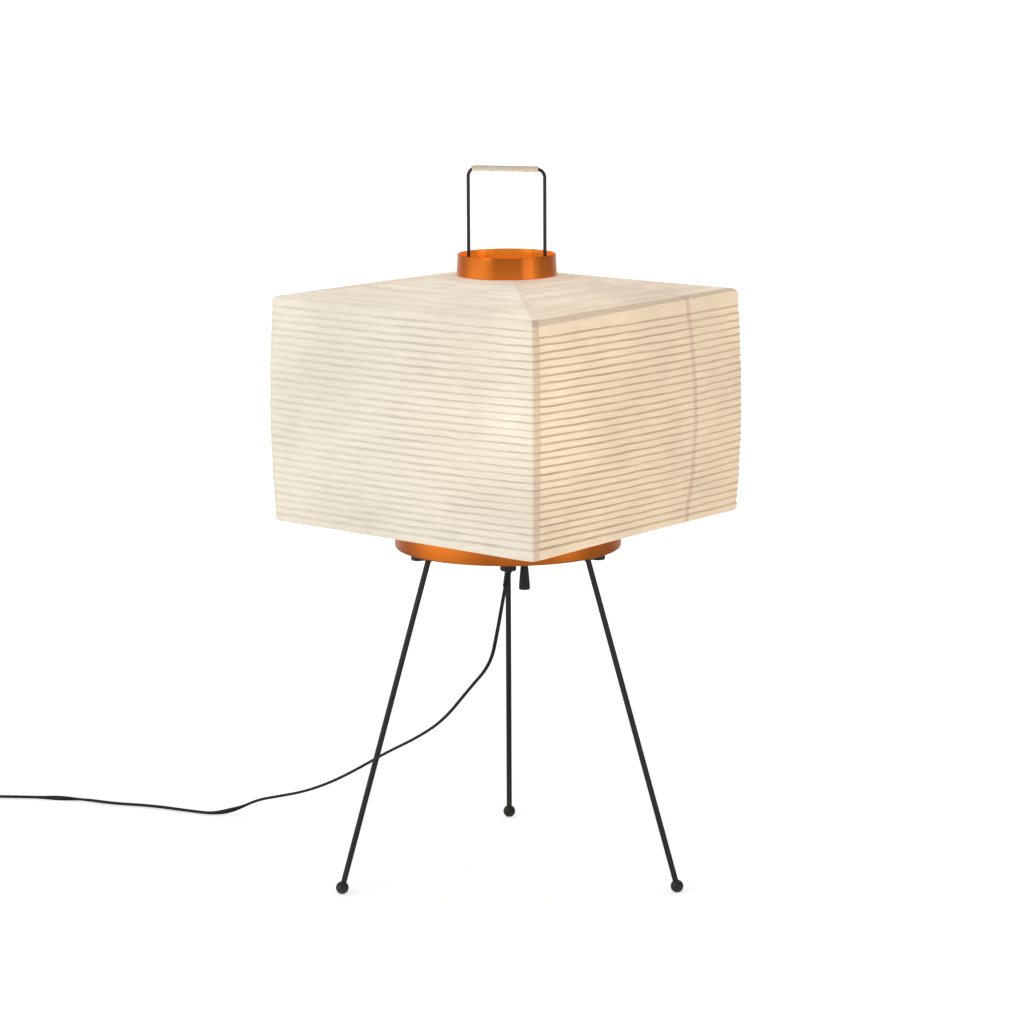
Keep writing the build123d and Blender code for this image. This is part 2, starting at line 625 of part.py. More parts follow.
with BuildPart() as lower_hoop:
    with BuildSketch(Plane.XY.offset(PAN_HIGH)):
        with BuildLine():
            Polyline(*ring_points(*circle_at(HOOP_R)), close=True)
        make_face()
        with BuildLine():
            Polyline(*ring_points(*circle_at(HOOP_R - HOOP_SIZE)), close=True)
        make_face(mode=Mode.SUBTRACT)
    extrude(amount=HOOP_SIZE)
lower_hoop.part.label = "lower_hoop"
export_step(lower_hoop.part, "parts/lower_hoop.step")
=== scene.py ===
from math import asin, copysign, cos, floor, pi, radians, sin, sqrt

import bmesh
import bpy
from bpy.props import FloatProperty, FloatVectorProperty, IntProperty, PointerProperty
from mathutils import Matrix, Vector, noise


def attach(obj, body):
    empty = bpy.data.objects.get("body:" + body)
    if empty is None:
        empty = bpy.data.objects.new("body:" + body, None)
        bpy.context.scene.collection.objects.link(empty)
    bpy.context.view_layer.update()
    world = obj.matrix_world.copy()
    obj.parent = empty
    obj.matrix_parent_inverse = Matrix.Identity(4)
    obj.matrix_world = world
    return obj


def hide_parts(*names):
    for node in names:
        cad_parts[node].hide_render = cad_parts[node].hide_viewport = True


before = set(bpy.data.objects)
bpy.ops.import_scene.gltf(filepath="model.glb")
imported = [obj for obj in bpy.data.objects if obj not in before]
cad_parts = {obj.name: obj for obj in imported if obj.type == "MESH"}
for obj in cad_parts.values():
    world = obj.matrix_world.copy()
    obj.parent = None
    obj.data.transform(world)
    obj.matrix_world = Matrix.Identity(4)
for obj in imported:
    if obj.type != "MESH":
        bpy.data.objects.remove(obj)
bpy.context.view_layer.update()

bl_info = {
    "name": "Paper Floor Lamp",
    "version": (1, 0, 0),
    "blender": (4, 5, 0),
    "location": "View3D > Sidebar > Lamp",
    "description": "Builds the finish of a square paper floor lamp over its measured frame",
    "category": "Object",
}

# Lengths are in metres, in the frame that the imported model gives: +Z up, floor at Z = 0.
# Routes and profiles, and the numbers in them, are in millimetres.
MM = 0.001
SHADE_TURN = radians(-39.2)
FRAME_TURN = radians(-17.3)
LEG_TURNS = {"back": 90.0, "left": 210.0, "right": 330.0}
SWITCH_PLACE = Matrix.Rotation(FRAME_TURN, 4, "Z") @ Matrix.Translation((0.0152, 0.0152, 0))

# Control points of the flex: over the floor to the coil, then from the coil to the plug.
FLEX_ROUTE = [
    (-3.5, 2, 338.5), (-7.5, 4.5, 316), (-13, 8.5, 284), (-21, 14.5, 243), (-47, 32, 209),
    (-78, 52, 166), (-111, 74, 139), (-149, 98, 115), (-184, 122, 89), (-218, 150, 65),
    (-254, 184, 44), (-290, 218, 29), (-316, 236, 20), (-341, 234, 9), (-370, 232, 3.2),
    (-403, 247, 3.2), (-453, 273, 3.2), (-503, 285, 3.2), (-543, 306, 3.2), (-598, 317, 3.2),
    (-653, 322, 3.2), (-694, 323, 3.2),
]
TAIL_ROUTE = [(-736, 262, 6.6), (-737.5, 244, 7.5)]
COIL_CENTRE = (-704, 289)
COIL_TURNS = 4 + 100 / 360

# Sections of the shade: height, then the distance from its axis to a side, at the side's corner
# and at its middle.
HOOP_SECTION = (0.4204, 0.133 / sqrt(2), 0.133)
FLOOR_EDGE = (0.4238, 0.1862, 0.1873)
ROOF_EDGE = (0.6869, 0.1842, 0.1851)
COLLAR_SECTION = (0.7062, 0.057 / sqrt(2), 0.057)
# How far the shade's front corner hangs down, below its walls and above them.
DROP_BELOW, DROP_ABOVE = 0.0042, 0.0020
NARROW_LAP = 0.0045
# Slack of the paper, its fine unevenness, and how far a lap lies over the next sheet.
SLACK, UNEVEN, LAP_LIFT = 0.0007, 0.00012, 0.00022
# Where a lap starts along a sheet, and the heights over which lamplight fades in.
LAP_START = (0.1913, 0.1921)
LIT_WALL, LIT_GLOBE = (0.700, 0.712), (0.486, 0.535)

# Distance from the lamp's axis and height, in mm.
FOOT_PLACE, LEG_TOP, PLATE_PLACE = (223.7, 7.3), (104, 389), (109, 386)
# Height at which the rods end, just inside their plates.
LEG_CUT = 0.3834

CAMERA_PLACE = (0, -3.9921, 1.1471)
CAMERA_YAW, CAMERA_PITCH, CAMERA_ROLL = 0.0012, 0.1782, -0.0045
CAMERA_LENS, CAMERA_SENSOR = 122.1, 36.0
# Brightness of the studio round the lamp, by degrees from the camera's side.
STUDIO = (
    (-180, 0.64), (-157, 0.61), (-118, 0.46), (-95, 0.78), (-73, 1.0), (-49, 0.86),
    (-25, 0.57), (0, 0.61), (26, 0.59), (46, 0.66), (64, 0.77), (84, 0.46), (104, 0.38),
    (126, 0.33), (153, 0.48), (180, 0.64),
)
# Name, place, aim, size, power in watts and colour of each soft box.
SOFT_BOXES = (
    ("key", (-2.3, -2.0, 1.9), (0, 0, 0.5), 1.2, 16, (0.96, 0.98, 1.0)),
    ("fill", (2.6, -2.2, 1.2), (0, 0, 0.5), 1.6, 3, (1.0, 0.97, 0.93)),
    ("top", (0.3, 0.6, 2.8), (0, 0, 0.4), 1.8, 4, (1.0, 1.0, 1.0)),
)


def length(name, description, value):
    """A length property."""
    return FloatProperty(
        name=name, description=description, default=value, unit="LENGTH", subtype="DISTANCE")


def colour(name, description, value):
    """A colour property."""
    return FloatVectorProperty(
        name=name, description=description, default=value, size=3, min=0, max=1,
        subtype="COLOR")


class LampSizes(bpy.types.PropertyGroup):
    """Sizes of the pieces that the script builds over the frame."""

    shade_half: length("Shade half width", "Half the side of the shade at its edges", 0.192)
    corner_bulge: length("Corner bulge", "How far a corner stands out at mid height", 0.0039)
    side_bulge: length(
        "Side bulge", "How far the middle of a side stands out past its corners", 0.012)
    edge_bow: length(
        "Edge bow", "Bow of a side at the shade's top and bottom edges", 0.0015)
    rib_low: length("Lowest rib", "Height of the lowest rib", 0.4335)
    rib_high: length("Highest rib", "Height of the highest rib", 0.6745)
    rib_count: IntProperty(name="Ribs", description="Number of ribs in the shade", default=30)
    pleat: length("Pleat", "How far the paper dips between two ribs", 0.0006)
    paper: length("Paper", "Thickness of the paper", 0.0006)
    lap: length("Lap", "How far the front left sheet wraps past its corner", 0.0105)
    corner_round: length(
        "Corner rounding", "Where a sheet starts to bend round a corner", 0.0035)
    collar_radius: length("Collar radius", "Outside radius of the top collar", 0.0575)
    pan_radius: length("Pan radius", "Outside radius of the base pan", 0.1325)
    wire_radius: length("Wire radius", "Radius of the handle wire", 0.002)
    leg_radius: length("Leg radius", "Radius of a leg rod", 0.0033)
    foot_radius: length("Foot radius", "Radius of a ball foot", 0.0075)
    flex_width: length("Flex width", "Width of the flat twin flex", 0.006)
    flex_thick: length("Flex thickness", "Thickness of the flat twin flex", 0.0036)


class LampColours(bpy.types.PropertyGroup):
    """Colours of the finishes, as linear values."""

    paper: colour("Paper", "Paper in plain daylight", (0.78, 0.735, 0.65))
    paper_dull: colour("Thick paper", "Cloudy, thicker parts of the paper", (0.72, 0.66, 0.57))
    glow_left: colour(
        "Glow, left", "Light through the front left sheet", (0.41, 0.342, 0.26))
    glow_right: colour(
        "Glow, right", "Light through the other sheets", (0.545, 0.37, 0.195))
    roof_left: colour(
        "Roof glow, left", "Light through the front left roof", (0.525, 0.445, 0.345))
    roof_right: colour(
        "Roof glow, right", "Light through the other roofs", (0.50, 0.37, 0.26))
    lap_left: colour(
        "Lap, left", "Light through the lap of the front left sheet", (0.40, 0.265, 0.165))
    lap_right: colour(
        "Lap, right", "Light through the laps of the other sheets", (0.43, 0.27, 0.155))
    # The rib colours are painted shadow: the ribs show through the paper and shade it from the
    # lamp, greyer on the daylit front left sheet.
    rib_left: colour("Rib, left", "Front left sheet over a rib", (0.43, 0.39, 0.31))
    rib_right: colour("Rib, right", "The other sheets over a rib", (0.40, 0.29, 0.17))
    orange: colour("Orange metal", "Anodised spun metal", (0.88, 0.215, 0.029))
    black: colour("Black paint", "Satin paint on the rods and wire", (0.016, 0.014, 0.011))
    plastic: colour("Black plastic", "Moulded fittings", (0.018, 0.016, 0.014))
    rubber: colour("Black flex", "Jacket of the flex", (0.012, 0.0115, 0.011))
    cane: colour("Cane", "Wrapping of the grip", (0.95, 0.84, 0.69))
    bamboo: colour("Split bamboo", "Ribs", (0.55, 0.42, 0.24))
    zinc: colour("Zinc plate", "Hardware out of sight", (0.52, 0.52, 0.50))
    brass: colour("Brass", "Contacts and the switch plunger", (0.62, 0.42, 0.14))
    bulb: colour("Lit bulb", "Opal glass, lit", (1.0, 0.86, 0.62))


# ------------------------------------------------------------------ nodes
def fill(tree, made, inputs):
    """Links or sets a node's inputs, by name or number."""
    for key, value in inputs.items():
        if isinstance(value, bpy.types.NodeSocket):
            tree.links.new(value, made.inputs[key])
        else:
            made.inputs[key].default_value = value


def node(tree, kind, inputs=None, **settings):
    """A new node with its settings, and constants or links on its inputs."""
    made = tree.nodes.new(kind)
    for key, value in settings.items():
        setattr(made, key, value)
    fill(tree, made, inputs or {})
    return made


def math(tree, operation, a, b=0.0, c=0.0):
    """The result of one Math node."""
    return node(tree, "ShaderNodeMath", {0: a, 1: b, 2: c}, operation=operation).outputs[0]


def times(tree, a, b):
    """The product of two values."""
    return math(tree, "MULTIPLY", a, b)


def ramp(tree, value, low, high, start=0.0, end=1.0, smooth=True):
    """value taken from low..high to start..end, held beyond both ends."""
    kind = "SMOOTHSTEP" if smooth else "LINEAR"
    return node(tree, "ShaderNodeMapRange", {0: value, 1: low, 2: high, 3: start, 4: end},
                interpolation_type=kind).outputs[0]


def mix(tree, factor, a, b, blend="MIX"):
    """The result of one colour Mix node."""
    a, b = (value if isinstance(value, bpy.types.NodeSocket) else (*value, 1)
            for value in (a, b))
    return node(tree, "ShaderNodeMix", {"Factor": factor, 6: a, 7: b}, data_type="RGBA",
                blend_type=blend).outputs[2]


def grey(tree, level):
    """A grey of this brightness."""
    return node(tree, "ShaderNodeCombineColor", {0: level, 1: level, 2: level}).outputs[0]


def parts(tree, vector):
    """The X, Y and Z of a vector."""
    return node(tree, "ShaderNodeSeparateXYZ", {0: vector}).outputs


def object_place(tree):
    """The place on a piece, in object coordinates."""
    return node(tree, "ShaderNodeTexCoord").outputs["Object"]


def object_noise(tree, scale, stretch=(1, 1, 1), detail=3.0):
    """Noise in object coordinates, drawn out along an axis by a small stretch value."""
    place = object_place(tree)
    scaled = node(tree, "ShaderNodeMapping", {"Vector": place, "Scale": stretch}).outputs[0]
    return node(tree, "ShaderNodeTexNoise", {
        "Vector": scaled, "Scale": scale, "Detail": detail}).outputs["Fac"]


def sheet_noise(tree, sheet, stretch, **settings):
    """Noise along and up a sheet of the shade."""
    at = node(tree, "ShaderNodeCombineXYZ", {
        axis: times(tree, sheet[axis], stretch[axis]) for axis in (0, 1)}).outputs[0]
    return node(tree, "ShaderNodeTexNoise", {"Vector": at, "Scale": 1.0, **settings}).outputs["Fac"]


def studio_tone(tree, x, y):
    """Brightness of the studio in a direction, from its table."""
    around = math(tree, "ARCTAN2", x, times(tree, y, -1.0))
    share = ramp(tree, around, -pi, pi, smooth=False)
    tone = node(tree, "ShaderNodeValToRGB", {0: share})
    stops = tone.color_ramp
    stops.interpolation = "CARDINAL"
    while len(stops.elements) < len(STUDIO):
        stops.elements.new(0.5)
    for element, (angle, level) in zip(stops.elements, STUDIO):
        element.position = (angle + 180) / 360
        # Bright parts lean to green, which looks yellow on the orange metal.
        element.color = (level, level + 0.35 * max(0.0, level - 0.7), level, 1)
    return tone.outputs[0]


def new_group(name, inputs, outputs):
    """A group with its two end nodes; a tuple or the name Color makes a colour socket."""
    group = bpy.data.node_groups.new(name, "ShaderNodeTree")
    for key, value in inputs.items():
        kind = "NodeSocketColor" if isinstance(value, tuple) else "NodeSocketFloat"
        made = group.interface.new_socket(key, in_out="INPUT", socket_type=kind)
        made.default_value = value
    for key in outputs:
        kind = "NodeSocketColor" if key == "Color" else "NodeSocketFloat"
        group.interface.new_socket(key, in_out="OUTPUT", socket_type=kind)
    return group, group.nodes.new("NodeGroupInput").outputs, group.nodes.new("NodeGroupOutput")


def use_group(tree, name, inputs):
    """The outputs of a node that holds the shared group."""
    return node(tree, "ShaderNodeGroup", inputs, node_tree=bpy.data.node_groups[name]).outputs


def make_grain_group():
    """Grain and clouding of a hard surface."""
    group, given, out = new_group(
        "surface_grain",
        {"Base": (0.5, 0.5, 0.5, 1), "Spread": 0.25, "Roughness": 0.4, "Scale": 300.0},
        ["Color", "Roughness", "Height"])
    cloud = object_noise(group, 18.0, detail=4.0)
    grain = node(group, "ShaderNodeTexNoise", {
        "Vector": object_place(group), "Scale": given["Scale"], "Detail": 2.0}).outputs["Fac"]
    darker = mix(group, 1.0, given["Base"], (0.55, 0.55, 0.55), "MULTIPLY")
    share = times(group, ramp(group, cloud, 0.35, 0.75), given["Spread"])
    swing = math(group, "MULTIPLY_ADD", grain, 0.12, -0.06)
    fill(group, out, {
        "Color": mix(group, share, given["Base"], darker),
        "Roughness": math(group, "ADD", given["Roughness"], swing),
        "Height": grain})


def make_paper_group():
    """Painted rib shadow, and the fibres, strands and clouds of the shade's paper,
    on a sheet's own coordinates.
    """
    group, given, out = new_group(
        "shade_paper",
        {"Rib Width": 0.1, "Rib Soft": 0.1, "Wobble": 0.12, "Faint": 0.7, "Last Rib": 29.0},
        ["Rib", "Fibre", "Strand", "Cloud", "Roof", "Height"])
    sheet = parts(group, node(group, "ShaderNodeUVMap", uv_map="sheet").outputs[0])
    level = sheet[1]

    # The rib lines, where painted shadow falls along each rib.
    wave = sheet_noise(group, sheet, (22.0, 1.0), Detail=1.0)
    shift = times(group, math(group, "SUBTRACT", wave, 0.5), given["Wobble"])
    away = math(group, "PINGPONG", math(group, "ADD", level, shift), 0.5)
    edge = math(group, "ADD", given["Rib Width"], given["Rib Soft"])
    line = ramp(group, away, given["Rib Width"], edge, 1.0, 0.0)
    faded = sheet_noise(group, sheet, (22.0, 1.0), Scale=0.6, Detail=2.0)
    line = times(group, line, ramp(group, faded, 0.3, 0.7, given["Faint"], 1.0))
    over = math(group, "SUBTRACT", level, given["Last Rib"])
    within = times(group, ramp(group, level, -0.6, -0.4), ramp(group, over, 0.3, 0.5, 1.0, 0.0))

    streak = sheet_noise(group, sheet, (35.0, 3.2), Detail=5.0, Roughness=0.62)
    hair = sheet_noise(group, sheet, (260.0, 2.2), Detail=6.0, Distortion=1.6)
    roof = ramp(group, level, 30.4, 31.2)
    fold = sheet_noise(group, sheet, (5.0, 0.8), Detail=3.0, Roughness=0.55)
    fold = times(group, math(group, "SUBTRACT", fold, 0.5), times(group, roof, 1.1))
    fibre = math(group, "ADD", times(group, streak, 0.6), times(group, hair, 0.4))
    fibre = math(group, "ADD", fibre, fold)
    strand = sheet_noise(group, sheet, (48.0, 0.8), Detail=1.5, Distortion=0.9)
    strand = math(group, "ABSOLUTE", math(group, "SUBTRACT", strand, 0.5))
    tooth = object_noise(group, 900.0, detail=2.0)
    fill(group, out, {
        "Rib": times(group, line, within),
        "Fibre": fibre,
        "Strand": ramp(group, strand, 0.004, 0.02, 1.0, 0.0),
        "Cloud": object_noise(group, 9.0, detail=5.0),
        "Roof": roof,
        "Height": math(group, "ADD", times(group, fibre, 0.7), times(group, tooth, 0.3))})


# ------------------------------------------------------------------ materials
def shader_of(name):
    """The tree and the shader of a new material."""
    material = bpy.data.materials.new(f"finish_{name}")
    material.use_nodes = True
    return material.node_tree, material.node_tree.nodes["Principled BSDF"]


def bump(tree, height, distance, strength=0.4):
    """Fine relief from a height."""
    return node(tree, "ShaderNodeBump", {
        "Height": height, "Strength": strength, "Distance": distance}).outputs[0]


def hard(name, base, roughness, metallic=0.0, coat=0.0, scale=300.0, relief=0.00005):
    """A hard surface: paint, plastic, rubber or plain metal, with its own grain and clouding."""
    tree, shader = shader_of(name)
    grain = use_group(tree, "surface_grain", {
        "Base": (*base, 1), "Spread": 0.3, "Roughness": roughness, "Scale": scale})
    fill(tree, shader, {
        "Base Color": grain["Color"], "Roughness": grain["Roughness"], "Metallic": metallic,
        "Coat Weight": coat, "Normal": bump(tree, grain["Height"], relief)})


def spun_metal(name, base, lit_reach):
    """Anodised metal with the rings of spinning, and lamplight on the collar's inner wall."""
    tree, shader = shader_of(name)
    rings = object_noise(tree, 14.0, stretch=(0.4, 0.4, 420), detail=2.0)
    cloud = object_noise(tree, 22.0, detail=3.0)
    deep = tuple(value * 0.9 for value in base)
    tone = mix(tree, ramp(tree, rings, 0.3, 0.7), deep, base)
    pale = tuple(min(1.0, value * 1.15) for value in base)
    tone = mix(tree, times(tree, ramp(tree, cloud, 0.4, 0.8), 0.3), tone, pale)
    x, y, height = parts(tree, object_place(tree))
    gap = math(tree, "SQRT", math(tree, "MULTIPLY_ADD", x, x, times(tree, y, y)))
    inside = math(tree, "LESS_THAN", gap, lit_reach)
    lit = times(tree, inside, ramp(tree, height, *LIT_WALL))
    fill(tree, shader, {
        "Base Color": tone, "Roughness": math(tree, "MULTIPLY_ADD", rings, 0.07, 0.14),
        "Metallic": 1.0, "Normal": bump(tree, rings, 0.00002, 0.12),
        "Emission Color": mix(tree, lit, (0, 0, 0), (0.21, 0.092, 0.008)),
        "Emission Strength": 1.0})


def paper_material(name, hues, glow, roof, rib, lap_glow, glow_spots, width=0.085, soft=(0.08, 0.08),
                   depth=(0.5, 0.5), faint=0.6, seam=0.0, strip=""):
    """Handmade paper lit from behind: fibres and laps show, the ribs show as painted shadow,
    and painted pools of lamplight glow warmer.

    soft and depth of the ribs' painted shadow run from one end of the sheet to the other. seam
    is where along the sheet two lengths of paper are joined. strip is where a band under the
    roof's edge gets painted shade, at the bend there: whole, lap or nowhere.
    """
    tree, shader = shader_of(name)
    place = object_place(tree)
    sheet = parts(tree, node(tree, "ShaderNodeUVMap", uv_map="sheet").outputs[0])
    along, level = sheet[0], sheet[1]
    look = use_group(tree, "shade_paper", {
        "Rib Width": width, "Rib Soft": ramp(tree, along, -0.02, 0.17, *soft), "Wobble": 0.16,
        "Faint": faint, "Last Rib": 28.0 if strip == "whole" else 29.0})
    # Painted shadow along the ribs, where each rib shows through and shades the paper from the
    # lamp.
    rib_shadow = times(tree, look["Rib"], ramp(tree, along, -0.17, 0.17, *depth))
    wall = math(tree, "MULTIPLY_ADD", look["Roof"], -0.65, 1.0)
    on_lap = ramp(tree, along, *LAP_START)
    lap = times(tree, on_lap, wall)
    if seam:
        drift = node(tree, "ShaderNodeTexNoise", {
            "Vector": place, "Scale": 7.0, "Detail": 1.0}).outputs[0]
        centre = math(tree, "MULTIPLY_ADD", drift, 0.012, seam - 0.006)
        off = math(tree, "ABSOLUTE", math(tree, "SUBTRACT", along, centre))
        on_wall = times(tree, ramp(tree, off, 0.0033, 0.0043, 1.0, 0.0), wall)
        on_roof = times(tree, ramp(tree, off, 0.0012, 0.0024, 1.0, 0.0), look["Roof"])
        lap = math(tree, "MAXIMUM", lap, math(tree, "MAXIMUM", on_wall, on_roof))
    thick = ramp(tree, look["Fibre"], 0.42, 0.62)
    cloudy = ramp(tree, look["Cloud"], 0.35, 0.7)
    body = mix(tree, times(tree, cloudy, 0.6), tuple(hues.paper), tuple(hues.paper_dull))
    body = mix(tree, times(tree, thick, 0.25), body, (0.9, 0.87, 0.80))
    # The paper takes the rib colour along each rib: painted shadow.
    body = mix(tree, rib_shadow, body, rib)
    body = mix(tree, times(tree, lap, 0.4), body, (0.64, 0.49, 0.38))
    light = math(tree, "MULTIPLY_ADD", look["Fibre"], 0.9, 0.45)
    # The ribs' painted shadow dims the lamplight most; clouds and strands dim it a little.
    for mask, strength, top in ((cloudy, -0.14, 1.02), (look["Strand"], -0.07, 1.0),
                                (rib_shadow, -0.9, 1.0)):
        light = times(tree, light, math(tree, "MULTIPLY_ADD", mask, strength, top))
    # Painted shade in a band under the roof's edge, where the sheet bends into the roof: darker
    # paper and dimmer lamplight.
    if strip:
        foot = 29.52
        if strip == "whole":
            foot = ramp(tree, along, -0.19, 0.17, foot, 30.1, smooth=False)
        edge = ramp(tree, math(tree, "SUBTRACT", level, foot), -0.04, 0.04)
        edge = times(tree, edge, ramp(tree, level, 30.85, 31.0, 1.0, 0.0))
        if strip == "lap":
            edge = times(tree, edge, on_lap)
        body = mix(tree, times(tree, edge, 0.5), body, (0.48, 0.42, 0.38))
        light = times(tree, light, math(tree, "MULTIPLY_ADD", edge, -0.3, 1.0))
    glowing = mix(tree, lap, mix(tree, look["Roof"], glow, roof), lap_glow)
    glowing = mix(tree, 1.0, glowing, grey(tree, light), "MULTIPLY")
    # Each glow spot is a painted pool of lamplight, warmer and brighter near its centre.
    for spot, reach, tint in glow_spots:
        gap = node(tree, "ShaderNodeVectorMath", {0: place, 1: spot},
                   operation="DISTANCE").outputs["Value"]
        share = times(tree, ramp(tree, gap, 0.0, reach, 1.0, 0.0), light)
        glowing = mix(tree, share, glowing, tint, "ADD")
    fill(tree, shader, {
        "Base Color": body, "Emission Color": glowing, "Emission Strength": 1.0,
        "Roughness": 0.78, "Specular IOR Level": 0.25,
        "Normal": bump(tree, look["Height"], 0.00025, 0.5)})


def fibrous(name, base, stretch, scale):
    """Cane or bamboo: long fibres, darker pores and a faint polish."""
    tree, shader = shader_of(name)
    fibres = object_noise(tree, scale, stretch=stretch, detail=4.0)
    patches = object_noise(tree, 60.0, detail=3.0)
    deep = tuple(value * 0.86 for value in base)
    tone = mix(tree, ramp(tree, fibres, 0.35, 0.65), deep, base)
    warm = (base[0] * 0.98, base[1] * 0.93, base[2] * 0.82)
    tone = mix(tree, times(tree, ramp(tree, patches, 0.4, 0.8), 0.5), tone, warm)
    fill(tree, shader, {
        "Base Color": tone, "Roughness": 0.48, "Normal": bump(tree, fibres, 0.0001, 0.5)})


def lit_glass(name, base):
    """Opal glass with the lamp lit behind it, dimmer towards its neck."""
    tree, shader = shader_of(name)
    film = object_noise(tree, 40.0, detail=2.0)
    height = parts(tree, object_place(tree))[2]
    globe = mix(tree, ramp(tree, film, 0.3, 0.7), base, (1, 0.80, 0.52))
    glow = mix(tree, ramp(tree, height, *LIT_GLOBE), (0.62, 0.40, 0.20), globe)
    fill(tree, shader, {
        "Emission Color": glow, "Base Color": (0.26, 0.24, 0.20, 1), "Emission Strength": 0.74,
        "Roughness": 0.25, "Normal": bump(tree, film, 0.00002, 0.2)})


def make_materials(hues, lit_reach):
    """Every material, kept by name."""
    def tint(key):
        return tuple(getattr(hues, key))

    spun_metal("orange_metal", tint("orange"), lit_reach)
    hard("black_paint", tint("black"), 0.36, coat=0.15, scale=500.0)
    hard("black_plastic", tint("plastic"), 0.42, scale=900.0)
    hard("black_rubber", tint("rubber"), 0.5, scale=1200.0)
    hard("black_thread", tint("rubber"), 0.85, scale=2500.0, relief=0.0002)
    hard("zinc", tint("zinc"), 0.35, metallic=1.0, scale=180.0)
    hard("brass", tint("brass"), 0.3, metallic=1.0, scale=180.0)
    fibrous("cane", tint("cane"), (25, 3, 3), 60.0)
    fibrous("bamboo", tint("bamboo"), (4, 4, 60), 40.0)
    lit_glass("opal_glass", tint("bulb"))

    # The rib colours among these are painted shadow along the ribs.
    left = [tint(f"{key}_left") for key in ("glow", "roof", "rib", "lap")]
    right = [tint(f"{key}_right") for key in ("glow", "roof", "rib", "lap")]
    # Painted pools of lamplight on each sheet; the front left one has a wide warm pool and a small
    # pale hot spot near its corner.
    corner = (0.0031, -0.2568, 0.576)
    paper_material(
        "paper_front_left", hues, *left,
        [(corner, 0.21, (0.085, 0.05, 0.01)), (corner, 0.045, (0.07, 0.07, 0.06))],
        width=0.09, soft=(0.2, 0.08), depth=(0.27, 0.5), faint=0.5, strip="lap")
    paper_material(
        "paper_front_right", hues, *right, [((0.0578, -0.2408, 0.575), 0.2, (0.13, 0.10, 0.055))],
        width=0.1, depth=(0.64, 0.48), faint=0.7, seam=0.0883, strip="whole")
    paper_material(
        "paper_back_right", hues, *right, [((0.13, 0.16, 0.55), 0.2, (0.12, 0.09, 0.05))])
    paper_material(
        "paper_back_left", hues, right[0], right[1], left[2], left[0],
        [((-0.16, 0.13, 0.55), 0.2, (0.12, 0.09, 0.05))], depth=(0.5, 0.12))


# ------------------------------------------------------------------ shapes
def clamp(value):
    """value held between 0 and 1."""
    return min(1.0, max(0.0, value))


def mesh_object(name, bm, finish):
    """A smooth object in the scene, made of a bmesh that is then freed."""
    mesh = bpy.data.meshes.new(name)
    bm.to_mesh(mesh)
    bm.free()
    for polygon in mesh.polygons:
        polygon.use_smooth = True
    mesh.materials.append(bpy.data.materials[f"finish_{finish}"])
    made = bpy.data.objects.new(name, mesh)
    bpy.context.scene.collection.objects.link(made)
    return made


def keep_piece(name, bm, finish, body, *nodes, angle=35.0):
    """Makes the mesh a finished piece on its body, and hides the nodes that it stands for."""
    bmesh.ops.recalc_face_normals(bm, faces=bm.faces)
    piece = mesh_object(name, bm, finish)
    piece.data.set_sharp_from_angle(angle=radians(angle))
    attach(piece, body)
    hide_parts(*nodes)
    return piece


def dress(finish, *names):
    """Gives carried-over nodes their material."""
    for name in names:
        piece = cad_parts[name]
        piece.data.materials.clear()
        piece.data.materials.append(bpy.data.materials[f"finish_{finish}"])


def turned(bm, profile, steps, place=Matrix.Identity(4)):
    """Spins (radius, height) pairs in mm round the axis that place gives."""
    points = [bm.verts.new(place @ Vector((radius * MM, 0, height * MM)))
              for radius, height in profile]
    edges = [bm.edges.new(pair) for pair in zip(points, points[1:])]
    axis = (place.to_3x3() @ Vector((0, 0, 1))).normalized()
    bmesh.ops.spin(bm, geom=points + edges, cent=place.translation, axis=axis, angle=2 * pi,
                   steps=steps, use_merge=True, use_duplicate=False)
    bmesh.ops.remove_doubles(bm, verts=bm.verts, dist=1e-7)


def arc(centre, radius, start, end, steps):
    """(radius, height) points in mm along an arc, for a profile."""
    turns = [radians(start + (end - start) * i / steps) for i in range(steps + 1)]
    return [(centre[0] + radius * cos(t), centre[1] + radius * sin(t)) for t in turns]


def swept(bm, frames, ring):
    """Draws a closed ring of vertices, already on the first frame, through the other frames."""
    edges = [edge for edge in bm.edges if edge.verts[0] in ring and edge.verts[1] in ring]
    bmesh.ops.contextual_create(bm, geom=edges)
    for here, there in zip(frames, frames[1:]):
        made = bmesh.ops.extrude_edge_only(bm, edges=edges)["geom"]
        verts = [item for item in made if isinstance(item, bmesh.types.BMVert)]
        edges = [item for item in made if isinstance(item, bmesh.types.BMEdge)]
        edges = [edge for edge in edges if edge.verts[0] in verts and edge.verts[1] in verts]
        bmesh.ops.transform(bm, matrix=there @ here.inverted(), verts=verts)
    bmesh.ops.contextual_create(bm, geom=edges)


def trim(bm, point, normal):
    """Cuts off what lies past a plane, and closes the cut."""
    bmesh.ops.bisect_plane(bm, geom=bm.verts[:] + bm.edges[:] + bm.faces[:], plane_co=point,
                           plane_no=normal, clear_outer=True)
    bmesh.ops.holes_fill(bm, edges=bm.edges)


def soften(bm, edges, offset, segments):
    """Rounds edges over."""
    bmesh.ops.bevel(bm, geom=edges, offset=offset, segments=segments, profile=0.5,
                    affect="EDGES", material=-1)


def upright_edges(bm, rise):
    """Edges whose ends differ in height by more than rise."""
    return [edge for edge in bm.edges if abs(edge.verts[0].co.z - edge.verts[1].co.z) > rise]


def sharp_edges(bm, angle):
    """Edges that bend by more than angle, in radians."""
    return [edge for edge in bm.edges if edge.is_manifold and edge.calc_face_angle() > angle]


def frame_on(point, along, wide):
    """A frame at point whose Z looks along and whose X is as near wide as it can be."""
    z = Vector(along).normalized()
    y = z.cross(Vector(wide)).normalized()
    x = y.cross(z)
    made = Matrix((x, y, z)).transposed().to_4x4()
    made.translation = point
    return made


